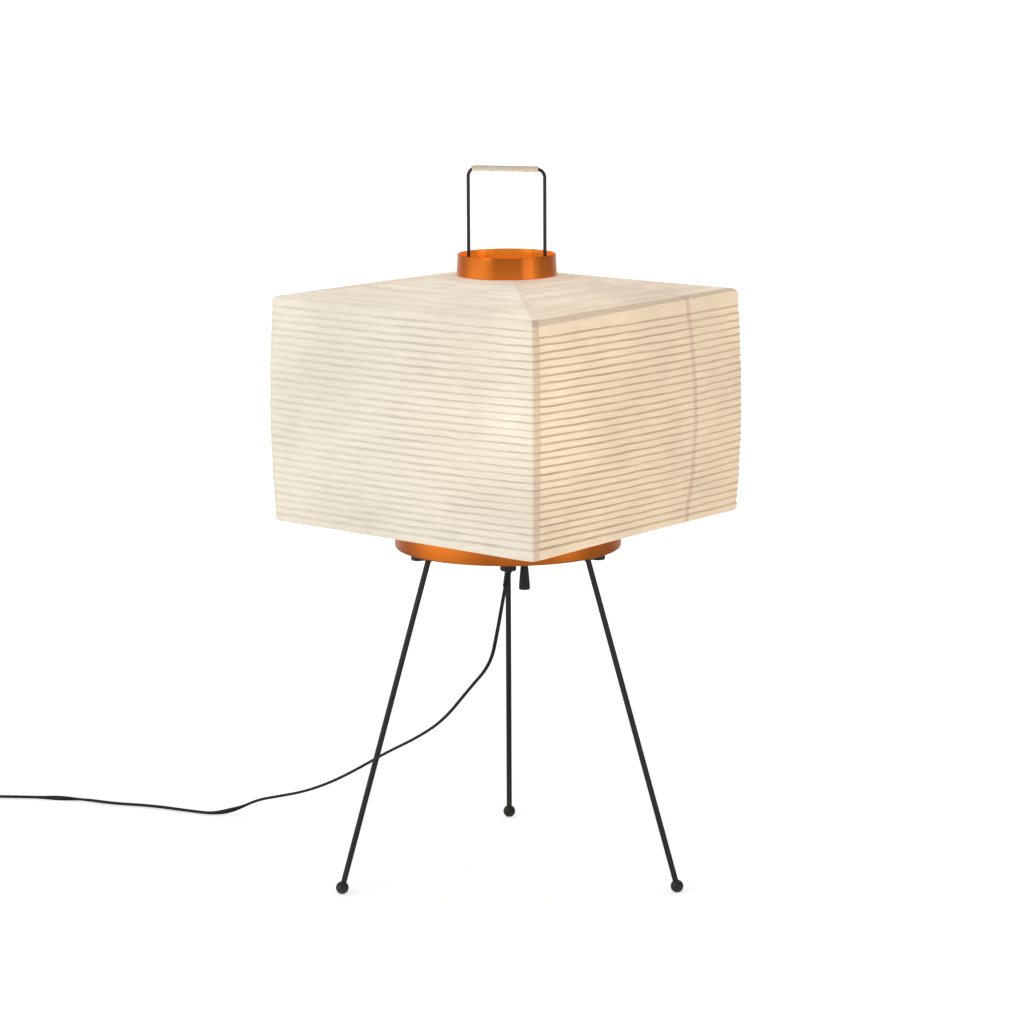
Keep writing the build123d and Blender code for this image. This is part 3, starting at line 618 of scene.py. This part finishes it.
def frames_along(points, wide, twist=None):
    """A frame at each point of a path; wide may be a function of the direction there."""
    frames = []
    last = len(points) - 1
    for i, point in enumerate(points):
        along = (points[min(i + 1, last)] - points[max(i - 1, 0)]).normalized()
        side = wide(along) if callable(wide) else wide
        made = frame_on(point, along, side)
        if twist:
            made = made @ Matrix.Rotation(twist(point), 4, "Z")
        frames.append(made)
    return frames


def ring_on(bm, place, segments, radius, flat=1.0, waist=0.0):
    """A ring of vertices on a frame: round, or flattened, or pinched at its middle."""
    made = bmesh.ops.create_circle(bm, segments=segments, radius=radius)["verts"]
    for vert in made:
        across = vert.co.x / radius
        vert.co.y *= flat * (1 - waist * max(0.0, 1 - (across / 0.35) ** 2))
    bmesh.ops.transform(bm, matrix=place, verts=made)
    return made


def leg_point(turn, radius, height):
    """A point in metres from a direction in degrees, and a distance and height in mm."""
    return Vector((radius * cos(radians(turn)), radius * sin(radians(turn)), height)) * MM


def in_frame(along, beside, height):
    """A point in metres, from distances in mm along and beside the handle's bar."""
    return Matrix.Rotation(FRAME_TURN, 3, "Z") @ Vector((along, beside, height)) * MM


# ------------------------------------------------------------------ shade outline
def side_point(section, side, share):
    """A point on one side of a section of the shade; share runs from -1 to 1 along the side."""
    _, corner, middle = section
    rise = middle - corner
    radius = (corner**2 + rise**2) / (2 * rise)
    swing = asin(min(1.0, corner / radius)) * share
    x = middle - radius * (1 - cos(swing))
    y = radius * sin(swing)
    turn = SHADE_TURN + side * pi / 2
    return Vector((x * cos(turn) - y * sin(turn), x * sin(turn) + y * cos(turn), 0))


def outline_point(section, total, rounding):
    """A point on the rounded outline; total grows by 2 for each side."""
    side = floor((total + 1) / 2)
    share = total - 2 * side
    cut = min(0.09, rounding / section[1])
    if share > 1 - cut:
        first, last, t = side, side + 1, (share - 1 + cut) / (2 * cut)
    elif share < -1 + cut:
        first, last, t = side - 1, side, (share + 1 + cut) / (2 * cut)
    else:
        point = side_point(section, side, share)
        point.z = section[0]
        return point
    start = side_point(section, first, 1 - cut)
    bend = side_point(section, last, -1)
    end = side_point(section, last, -1 + cut)
    point = start * (1 - t) ** 2 + bend * 2 * t * (1 - t) + end * t**2
    point.z = section[0]
    return point


def shade_sections(sizes):
    """(height, corner, middle, rib number) from the lower hoop up to the collar."""
    count = sizes.rib_count
    pitch = (sizes.rib_high - sizes.rib_low) / (count - 1)
    half_way = (sizes.rib_low + sizes.rib_high) / 2
    reach = (sizes.rib_high - sizes.rib_low) / 2 + 0.010

    def wall(height):
        share = 1 - ((height - half_way) / reach) ** 2
        corner = sizes.shade_half + sizes.corner_bulge * share
        return corner, corner + sizes.edge_bow + sizes.side_bulge * share

    def bend(start, knee, end, steps, first, last):
        for i in range(steps):
            t = i / steps
            blend = [a * (1 - t) ** 2 + b * 2 * t * (1 - t) + c * t * t
                     for a, b, c in zip(start, knee, end)]
            yield (*blend, first + (last - first) * t)

    low_bend, high_bend = sizes.rib_low - 0.0035, sizes.rib_high + 0.003
    low_corner, low_middle = wall(low_bend)
    high_corner, high_middle = wall(high_bend)
    sections = []
    for i in range(8):
        t = i / 8
        step = [a + (b - a) * t for a, b in zip(HOOP_SECTION, FLOOR_EDGE)]
        sections.append((*step, -8 + 6.6 * t))
    knee = (0.4240, low_corner - 0.0003, low_middle - 0.0004)
    sections += bend(FLOOR_EDGE, knee, (low_bend, low_corner, low_middle), 8, -1.4, -0.42)
    for rib in range(count - 1):
        for t in (0, 0.1, 0.22, 0.36, 0.5, 0.64, 0.78, 0.9):
            height = sizes.rib_low + (rib + t) * pitch
            corner, middle = wall(height)
            dip = sizes.pleat * sin(pi * t)
            sections.append((height, corner - dip, middle - dip, rib + t))
    sections.append((sizes.rib_high, *wall(sizes.rib_high), count - 1))
    knee = (0.6864, high_corner - 0.0002, high_middle - 0.0003)
    sections += bend((high_bend, high_corner, high_middle), knee, ROOF_EDGE, 10,
                     count - 0.64, count + 1)
    for i in range(29):
        t = i / 28
        step = [a + (b - a) * t for a, b in zip(ROOF_EDGE, COLLAR_SECTION)]
        sections.append((*step, count + 1 + 15 * t))
    return sections


def make_sheet(name, side, sizes):
    """One sheet of the shade, wrapped a little past its corner, with the slack of real paper."""
    sections = shade_sections(sizes)
    cut = sizes.corner_round / sizes.shade_half
    lap = (sizes.lap if name == "front_left" else NARROW_LAP) / sizes.shade_half
    near = [-1, -1 + cut * 0.5, -1 + cut]
    shares = near + [-1 + cut + (2 - 2 * cut) * i / 44 for i in range(1, 44)]
    shares += [1 - cut, 1 - cut * 0.5, 1, 1 + cut * 0.5, 1 + cut, 1 + lap * 0.8, 1 + lap]
    bm = bmesh.new()
    bmesh.ops.create_grid(bm, x_segments=len(shares) - 1, y_segments=len(sections) - 1, size=1)
    if len(bm.verts) != len(shares) * len(sections):
        raise RuntimeError("the sheet's grid has the wrong number of points")
    places = {}
    for vert in bm.verts:
        column = round((vert.co.x + 1) / 2 * (len(shares) - 1))
        row = round((vert.co.y + 1) / 2 * (len(sections) - 1))
        *section, rib = sections[row]
        share = shares[column]
        total = side * 2 + share
        point = outline_point(section, total, sizes.corner_round)
        seed = Vector((point.x * 16, point.y * 16, rib * 0.45))
        calm = clamp((rib + 1.0) / 2) * clamp((sizes.rib_count - rib) / 2)
        nearness = clamp(-point.y / 0.25)
        # The shade hangs a little at its front corner, below its walls and above them.
        under = clamp(-rib) * min(1.0, (rib + 8) / 6.6)
        over = clamp((rib - sizes.rib_count + 1) / 1.5)
        over *= clamp((sizes.rib_count + 16 - rib) / 15)
        point.z -= (DROP_BELOW * under + DROP_ABOVE * over) * nearness**2
        point.z += calm * SLACK * noise.noise(Vector((point.x * 26, point.y * 26, rib * 0.9)))
        slack = SLACK * noise.noise(seed) * calm + UNEVEN * noise.noise(seed * 6.0)
        outward = Vector((point.x, point.y, 0)).normalized()
        lift = LAP_LIFT * clamp((share - 1 + cut) / (2 * cut))
        vert.co = point + outward * (slack - SLACK * calm + lift)
        places[vert] = (share * sizes.shade_half, rib)
    layer = bm.loops.layers.uv.new("sheet")
    for face in bm.faces:
        for loop in face.loops:
            loop[layer].uv = places[loop.vert]
    bmesh.ops.recalc_face_normals(bm, faces=bm.faces)
    middle = min(bm.faces, key=lambda face: abs(face.calc_center_median().z - 0.55))
    centre = middle.calc_center_median()
    if middle.normal.dot(Vector((centre.x, centre.y, 0))) < 0:
        bmesh.ops.reverse_faces(bm, faces=bm.faces)
    piece = mesh_object(f"sheet_{name}", bm, f"paper_{name}")
    thickness = piece.modifiers.new("paper", "SOLIDIFY")
    thickness.thickness = sizes.paper
    thickness.offset = -1
    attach(piece, "shade")
    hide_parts(f"paper_{name}")


# ------------------------------------------------------------------ stage
def make_camera(scene):
    """The camera, turned by yaw, pitch and roll."""
    flat = cos(CAMERA_PITCH)
    ahead = Vector((sin(CAMERA_YAW) * flat, cos(CAMERA_YAW) * flat, -sin(CAMERA_PITCH)))
    level = Vector((cos(CAMERA_YAW), -sin(CAMERA_YAW), 0))
    above = level.cross(ahead)
    right = level * cos(CAMERA_ROLL) + above * sin(CAMERA_ROLL)
    up = above * cos(CAMERA_ROLL) - level * sin(CAMERA_ROLL)
    lens = bpy.data.cameras.new("camera")
    lens.lens = CAMERA_LENS
    lens.sensor_width = CAMERA_SENSOR
    lens.clip_end = 200
    camera = bpy.data.objects.new("camera", lens)
    camera.matrix_world = Matrix((right, up, -ahead)).transposed().to_4x4()
    camera.location = CAMERA_PLACE
    scene.collection.objects.link(camera)
    scene.camera = camera


def make_floor():
    """The pale floor, which reflections see as the studio, with a painted shadow near the lamp."""
    tree, shader = shader_of("floor_white")
    speckle = object_noise(tree, 30.0, detail=2.0)
    plain = mix(tree, speckle, (0.88, 0.88, 0.88), (0.90, 0.90, 0.90))
    seen = node(tree, "ShaderNodeLightPath").outputs["Is Camera Ray"]
    place = object_place(tree)
    x, y, _ = parts(tree, place)
    gap = node(tree, "ShaderNodeVectorMath", {0: place}, operation="LENGTH").outputs["Value"]
    # Painted shadow of the lamp on the floor, seen only in reflections: the floor darkens towards
    # the lamp.
    away = grey(tree, ramp(tree, gap, 0.6, 3.5, 0.66, 1.14))
    white = grey(tree, ramp(tree, gap, 0.3, 2.5, 0.63, 0.92))
    tone = mix(tree, 1.0, studio_tone(tree, x, y), away, "MULTIPLY")
    fill(tree, shader, {
        "Base Color": mix(tree, seen, (0.03, 0.03, 0.03), plain), "Roughness": 0.95,
        "Specular IOR Level": 0.0, "Emission Color": mix(tree, seen, tone, white),
        "Emission Strength": 1.0})
    bm = bmesh.new()
    bmesh.ops.create_grid(bm, x_segments=4, y_segments=4, size=45)
    mesh_object("floor", bm, "floor_white")


def make_studio(scene):
    """The studio's walls, which the camera sees as plain white."""
    world = bpy.data.worlds.new("studio")
    world.use_nodes = True
    tree = world.node_tree
    x, y, z = parts(tree, node(tree, "ShaderNodeTexCoord").outputs["Generated"])
    tone = mix(tree, ramp(tree, z, 0.3, 0.9), studio_tone(tree, x, y), (0.55, 0.56, 0.58))
    lift = grey(tree, ramp(tree, z, 0.0, 0.2, 1.02, 0.6))
    tone = mix(tree, 1.0, tone, lift, "MULTIPLY")
    seen = node(tree, "ShaderNodeLightPath").outputs["Is Camera Ray"]
    fill(tree, tree.nodes["Background"], {
        "Color": mix(tree, seen, tone, (1.0, 1.0, 1.0)), "Strength": 1.0})
    scene.world = world


def make_light(name, kind, place, back, power, tint, **settings):
    """A light whose back points along a direction."""
    light = bpy.data.lights.new(name, kind)
    light.energy = power
    light.color = tint
    for key, value in settings.items():
        setattr(light, key, value)
    lamp = bpy.data.objects.new(name, light)
    lamp.location = place
    lamp.rotation_euler = Vector(back).to_track_quat("Z", "Y").to_euler()
    bpy.context.scene.collection.objects.link(lamp)


# ------------------------------------------------------------------ operators
class LAMP_OT_materials(bpy.types.Operator):
    """Make the shared effects and every material"""

    bl_idname = "lamp.make_materials"
    bl_label = "Materials"

    def execute(self, context):
        make_grain_group()
        make_paper_group()
        sizes = context.scene.lamp_sizes
        make_materials(context.scene.lamp_colours, sizes.collar_radius - 0.0015)
        return {"FINISHED"}


class LAMP_OT_stage(bpy.types.Operator):
    """Set the camera, the pale floor and the studio light"""

    bl_idname = "lamp.make_stage"
    bl_label = "Camera, floor and light"

    def execute(self, context):
        context.scene.view_settings.view_transform = "Standard"
        make_camera(context.scene)
        make_floor()
        make_studio(context.scene)
        for name, place, aim, size, power, tint in SOFT_BOXES:
            make_light(name, "AREA", place, Vector(place) - Vector(aim), power, tint, size=size)
        make_light("inner", "POINT", (0, 0, 0.60), (0, 0, 1), 0.6, (1.0, 0.84, 0.58),
                   shadow_soft_size=0.03)
        make_light("roof_glow", "SPOT", (0, -0.035, 0.60), (0, 0.055, -0.10), 0.9,
                   (1.0, 0.86, 0.6), spot_size=radians(56), spot_blend=0.5,
                   shadow_soft_size=0.01)
        return {"FINISHED"}


def flex_points():
    """Control points of the whole flex in mm, with the coil."""
    points = list(FLEX_ROUTE)
    steps = 13
    for i in range(1, round(COIL_TURNS * steps)):
        done = i / steps
        angle = radians(90) + 2 * pi * done
        inner = 0.5 - 0.5 * cos(pi * min(4, done))
        # The curve runs inside its control points, at 0.972 of their radius.
        radius = (34.4 - 5.6 * inner) / 0.972
        height = 3.1 if done < 1.7 else 3.1 + 3.9 * min(1.0, (done - 1.7) / 0.5)
        points.append((COIL_CENTRE[0] + radius * cos(angle),
                       COIL_CENTRE[1] + radius * sin(angle), height))
    return points + TAIL_ROUTE


def smooth_path(points):
    """Points in metres along a smooth curve, from control points in mm."""
    curve = bpy.data.curves.new("path", "CURVE")
    curve.dimensions = "3D"
    curve.resolution_u = 10
    spline = curve.splines.new("NURBS")
    spline.points.add(len(points) - 1)
    for made, point in zip(spline.points, points):
        made.co = (*(value * MM for value in point), 1)
    spline.order_u = 3
    spline.use_endpoint_u = True
    line = bpy.data.objects.new("path", curve)
    bpy.context.scene.collection.objects.link(line)
    track = bpy.data.meshes.new_from_object(line)
    path = [vert.co.copy() for vert in track.vertices]
    bpy.data.objects.remove(line)
    bpy.data.curves.remove(curve)
    bpy.data.meshes.remove(track)
    return path


def flex_twist(point):
    """How far the flat flex has turned over by a point on the floor."""
    turn = 0.0
    for start, width in ((-0.315, 0.07), (-0.53, 0.08)):
        share = clamp((start - point.x) / width)
        turn += pi * share * share * (3 - 2 * share)
    return turn


def make_sleeve():
    """The ribbed sleeve that keeps the flex from kinking, cut off flat under the cord grip."""
    start, after = Vector(FLEX_ROUTE[0]), Vector(FLEX_ROUTE[1])
    place = frame_on(start * MM, (start - after).normalized(), (1, 0, 0))
    profile = [(0, 0), (2.6, 0), (3.2, 0.5)]
    for i in range(5):
        height = 1.6 + i * 3.2
        radius = 3.35 + 0.14 * i
        profile += [(radius, height), (radius, height + 1.5), (radius - 0.75, height + 1.9),
                    (radius - 0.75, height + 2.8)]
    profile += [(4.3, 17.8), (4.4, 20.4), (0, 20.4)]
    bm = bmesh.new()
    turned(bm, profile, 32, place)
    trim(bm, Vector((0, 0, 358.5)) * MM, (0, 0, 1))
    return keep_piece("cord_sleeve", bm, "black_rubber", "base", "flex_sleeve")


def make_cord_grip():
    """The round cord grip under the middle of the pan."""
    profile = [(0, 358.5), (7.6, 358.5)] + arc((8.0, 360.0), 1.5, -90, 0, 4)
    profile += [(9.5, 378), (9.0, 378.6), (9.0, 380.4), (9.5, 381), (9.5, 388), (9.1, 388.9),
                (5.1, 389), (5.1, 386.2), (0, 386.2)]
    bm = bmesh.new()
    turned(bm, profile, 48)
    keep_piece("cord_grip_cover", bm, "black_plastic", "base", "cord_grip")


def make_plug():
    """The plug's body, rounded towards the flex."""
    centre, size = (-0.7375, 0.2305, 0.0075), (0.025, 0.027, 0.015, 1)
    bm = bmesh.new()
    bmesh.ops.create_cube(bm, size=1)
    bmesh.ops.transform(bm, matrix=Matrix.Translation(centre) @ Matrix.Diagonal(size),
                        verts=bm.verts)
    corners = [edge for edge in upright_edges(bm, 0.005) if edge.verts[0].co.y > centre[1]]
    soften(bm, corners, 0.0085, 6)
    soften(bm, sharp_edges(bm, 0.6), 0.0015, 3)
    return keep_piece("plug_shell", bm, "black_plastic", "base", "plug_body")


class LAMP_OT_flex(bpy.types.Operator):
    """Lay the flex from its sleeve to the plug, with the plug, the sleeve and the cord grip"""

    bl_idname = "lamp.make_flex"
    bl_label = "Flex and plug"

    def execute(self, context):
        sizes = context.scene.lamp_sizes
        path = smooth_path(flex_points())
        frames = frames_along(path, lambda along: (along.y, -along.x, 0), flex_twist)
        bm = bmesh.new()
        ring = ring_on(bm, frames[0], 20, sizes.flex_width / 2,
                       flat=sizes.flex_thick / sizes.flex_width, waist=0.22)
        swept(bm, frames, ring)
        flex = keep_piece("flex_cord", bm, "black_rubber", "base",
                          "flex", "flex_coil", "flex_tail", angle=60)
        sleeve = make_sleeve()
        make_cord_grip()
        plug = make_plug()
        dress("brass", "plug_blades")
        return {"FINISHED"}


class LAMP_OT_shade(bpy.types.Operator):
    """Stretch the four paper sheets of the shade over their ribs"""

    bl_idname = "lamp.make_shade"
    bl_label = "Paper shade"

    def execute(self, context):
        sizes = context.scene.lamp_sizes
        for side, name in enumerate(("front_right", "back_right", "back_left", "front_left")):
            make_sheet(name, side, sizes)
        dress("bamboo", "shade_ribs")
        dress("zinc", "lower_hoop")
        dress("black_paint", "collar_forks")
        return {"FINISHED"}


class LAMP_OT_collar(bpy.types.Operator):
    """Spin the orange collar at the top of the shade"""

    bl_idname = "lamp.make_collar"
    bl_label = "Top collar"

    def execute(self, context):
        outer = context.scene.lamp_sizes.collar_radius / MM
        inner = outer - 2
        profile = [(inner, 706.3), (inner, 730.4)] + arc((inner + 0.6, 730.4), 0.6, 180, 90, 4)
        profile += arc((outer - 1.3, 730.4), 0.6, 90, 0, 4) + [(outer + 0.6, 707.0), (outer, 706.2)]
        profile += [profile[0]]
        bm = bmesh.new()
        turned(bm, profile, 128)
        keep_piece("collar_ring", bm, "orange_metal", "shade", "top_collar")
        return {"FINISHED"}


class LAMP_OT_pan(bpy.types.Operator):
    """Spin the shallow orange pan under the shade"""

    bl_idname = "lamp.make_pan"
    bl_label = "Base pan"

    def execute(self, context):
        outer = context.scene.lamp_sizes.pan_radius / MM
        inner = outer - 1.5
        profile = [(5.2, 390.5), (5.2, 389)] + arc((outer - 2.5, 391.5), 2.5, -90, 0, 6)
        profile += arc((outer - 1.2, 417.8), 1.2, 0, 90, 4) + [(outer - 9.6, 419)]
        profile += arc((outer - 9.6, 418.3), 0.7, 90, 270, 5)
        profile += [(inner, 417.5), (inner, 391.6), (inner - 1.0, 390.5), (5.2, 390.5)]
        bm = bmesh.new()
        turned(bm, profile, 160)
        keep_piece("pan_shell", bm, "orange_metal", "base", "base_pan")
        return {"FINISHED"}


class LAMP_OT_wire(bpy.types.Operator):
    """Bend the handle wire and wrap its grip in cane"""

    bl_idname = "lamp.make_wire"
    bl_label = "Handle wire and grip"

    def execute(self, context):
        sizes = context.scene.lamp_sizes
        # In mm: half the handle's width, its lower end, its top and the radius of its bends.
        half, low, top, bend = 46.0, 392.5, 828.5, 9.5
        path = [in_frame(-half, 0, low + (top - bend - low) * i / 12) for i in range(12)]
        for centre, start in ((-half + bend, 180), (half - bend, 90)):
            for along, height in arc((centre, top - bend), bend, start, start - 90, 8):
                path.append(in_frame(along, 0, height))
        path += [in_frame(half, 0, low + (top - bend - low) * (11 - i) / 12)
                 for i in range(12)]
        bar, beside, _ = Matrix.Rotation(FRAME_TURN, 3, "Z").transposed()
        bm = bmesh.new()
        frames = frames_along(path, beside)
        swept(bm, frames, ring_on(bm, frames[0], 20, sizes.wire_radius))
        keep_piece("handle_wire", bm, "black_paint", "base", "frame_wire", angle=60)

        # In mm: the cane strip's pitch, its first and last place along the bar, and its radius.
        pitch, first, last, mean = 2.75, -40.5, 38.0, 3.05
        steps = 18
        path = []
        for i in range(int((last - first) / pitch * steps) + 1):
            angle = 2 * pi * i / steps
            run = first + pitch * i / steps
            bent = max(0.0, abs(run) - half + bend) / bend
            along = copysign(min(abs(run), half - bend) + bend * sin(bent), run)
            height = top - bend * (1 - cos(bent))
            rise = mean * sin(angle)
            path.append(in_frame(along + copysign(rise * sin(bent), run), mean * cos(angle),
                                 height + rise * cos(bent)))
        bm = bmesh.new()
        frames = frames_along(path, bar)
        swept(bm, frames, ring_on(bm, frames[0], 10, 0.00136, flat=0.3))
        place = frame_on(in_frame(0, 0, top), bar, beside)
        core = [(2.05, -38.3), (2.8, -38.2), (2.95, -37.6), (2.95, 37.6), (2.8, 38.2),
                (2.05, 38.3), (2.05, -38.3)]
        turned(bm, core, 24, place)
        keep_piece("grip_wrap", bm, "cane", "base", "handle_grip", angle=50)
        dress("black_paint", "frame_stops")
        dress("zinc", "frame_strap", "riser_tube", "riser_nuts", "switch_nut")
        return {"FINISHED"}


class LAMP_OT_legs(bpy.types.Operator):
    """Make the three rod legs with their plates and ball feet"""

    bl_idname = "lamp.make_legs"
    bl_label = "Legs and feet"

    def execute(self, context):
        sizes = context.scene.lamp_sizes
        leg = sizes.leg_radius / MM
        ball = sizes.foot_radius / MM
        feet = bmesh.new()
        for name, turn in LEG_TURNS.items():
            foot = leg_point(turn, *FOOT_PLACE)
            top = leg_point(turn, *LEG_TOP)
            side = (-sin(radians(turn)), cos(radians(turn)), 0)
            place = frame_on(foot, (top - foot).normalized(), side)
            tall = (top - foot).length / MM
            profile = [(0, 6.9), (leg, 6.9), (leg, tall - 11), (leg + 0.25, tall - 9.2),
                       (leg + 0.9, tall - 8), (leg + 1.4, tall - 6.2), (leg + 1.4, tall + 2),
                       (0, tall + 2)]
            bm = bmesh.new()
            turned(bm, profile, 28, place)
            trim(bm, (0, 0, LEG_CUT), (0, 0, 1))
            keep_piece(f"rod_{name}", bm, "black_paint", "base", f"leg_{name}", angle=50)

            bm = bmesh.new()
            bmesh.ops.create_cube(bm, size=1, matrix=Matrix.Diagonal((0.038, 0.016, 0.006, 1)))
            soften(bm, upright_edges(bm, 0.001), 0.0079, 10)
            spot = Matrix.Translation(leg_point(turn, *PLATE_PLACE))
            spot = spot @ Matrix.Rotation(radians(turn), 4, "Z")
            bmesh.ops.transform(bm, matrix=spot, verts=bm.verts)
            soften(bm, sharp_edges(bm, 1.2), 0.0012, 3)
            keep_piece(f"plate_{name}", bm, "black_paint", "base", f"leg_plate_{name}")

            turned(feet, arc((0, 0), ball, -90, 90, 26), 48, place)
        trim(feet, (0, 0, 0), (0, 0, -1))
        keep_piece("feet", feet, "black_paint", "base", "ball_feet", angle=50)
        return {"FINISHED"}


class LAMP_OT_switch(bpy.types.Operator):
    """Turn the pull bell and plait its cord"""

    bl_idname = "lamp.make_switch"
    bl_label = "Pull switch"

    def execute(self, context):
        bm = bmesh.new()
        profile = [(0, 337.5), (4.6, 336.0), (4.9, 334.3)] + arc((5.4, 335.2), 1.2, -70, 10, 5)
        profile += [(6.5, 338.5), (6.3, 342), (5.6, 350), (4.9, 358), (4.4, 363)]
        profile += arc((2.6, 364.3), 1.7, 10, 80, 5) + [(0.9, 366), (0, 366)]
        turned(bm, profile, 40, SWITCH_PLACE)
        keep_piece("bell", bm, "black_plastic", "bell", "pull_bell", angle=50)

        bm = bmesh.new()
        for strand in range(3):
            path = []
            for i in range(45):
                angle = 2 * pi * (strand / 3 + i * 0.09)
                place = Vector((0.42 * cos(angle), 0.42 * sin(angle), 366.0 + 12.2 * i / 44)) * MM
                path.append(SWITCH_PLACE @ place)
            frames = frames_along(path, (1, 0.2, 0))
            swept(bm, frames, ring_on(bm, frames[0], 8, 0.00036))
        keep_piece("bell_cord", bm, "black_thread", "bell", "pull_cord", angle=70)
        dress("black_plastic", "switch_body")
        dress("brass", "pull_plunger", "holder_contact")
        return {"FINISHED"}


class LAMP_OT_bulb(bpy.types.Operator):
    """Blow the opal bulb, roll its cap and finish the lamp holder"""

    bl_idname = "lamp.make_bulb"
    bl_label = "Bulb and holder"

    def execute(self, context):
        bm = bmesh.new()
        profile = [(0, 488.2), (12.4, 488.2), (12.7, 492), (13.6, 500), (14.8, 507)]
        profile += arc((0, 538), 29.6, -58, 90, 26)
        turned(bm, profile, 64)
        keep_piece("bulb_globe", bm, "opal_glass", "bulb", "bulb_glass", angle=60)

        bm = bmesh.new()
        profile = [(0, 460), (3.6, 460), (4.2, 461), (10.2, 462.6), (11.6, 464.4)]
        for i in range(40):
            profile.append((12.45 + 0.5 * sin(2 * pi * i / 8), 465.2 + 0.45 * i))
        profile += [(12.4, 484), (12.9, 485.4), (12.9, 487.9), (0, 487.9)]
        turned(bm, profile, 48)
        keep_piece("screw_cap", bm, "zinc", "bulb", "bulb_cap", angle=60)
        dress("black_plastic", "holder_cap", "holder_skirt")
        return {"FINISHED"}


class LAMP_PT_panel(bpy.types.Panel):
    """Buttons that build the lamp's finish"""

    bl_idname = "LAMP_PT_panel"
    bl_label = "Paper Floor Lamp"
    bl_space_type = "VIEW_3D"
    bl_region_type = "UI"
    bl_category = "Lamp"

    def draw(self, context):
        column = self.layout.column()
        for step in STEPS:
            column.operator(step.bl_idname)
        for group in (context.scene.lamp_sizes, context.scene.lamp_colours):
            for key in group.bl_rna.properties.keys():
                if key not in ("rna_type", "name"):
                    column.prop(group, key)


STEPS = (
    LAMP_OT_materials, LAMP_OT_stage, LAMP_OT_flex, LAMP_OT_shade, LAMP_OT_collar, LAMP_OT_pan,
    LAMP_OT_wire, LAMP_OT_legs, LAMP_OT_switch, LAMP_OT_bulb,
)


def register():
    for kind in (LampSizes, LampColours, *STEPS, LAMP_PT_panel):
        bpy.utils.register_class(kind)
    bpy.types.Scene.lamp_sizes = PointerProperty(type=LampSizes)
    bpy.types.Scene.lamp_colours = PointerProperty(type=LampColours)


def unregister():
    del bpy.types.Scene.lamp_colours
    del bpy.types.Scene.lamp_sizes
    for kind in reversed((LampSizes, LampColours, *STEPS, LAMP_PT_panel)):
        bpy.utils.unregister_class(kind)


def main():
    register()
    bpy.ops.lamp.make_materials()
    bpy.ops.lamp.make_stage()
    bpy.ops.lamp.make_flex()
    bpy.ops.lamp.make_shade()
    bpy.ops.lamp.make_collar()
    bpy.ops.lamp.make_pan()
    bpy.ops.lamp.make_wire()
    bpy.ops.lamp.make_legs()
    bpy.ops.lamp.make_switch()
    bpy.ops.lamp.make_bulb()


if __name__ == "__main__":
    main()
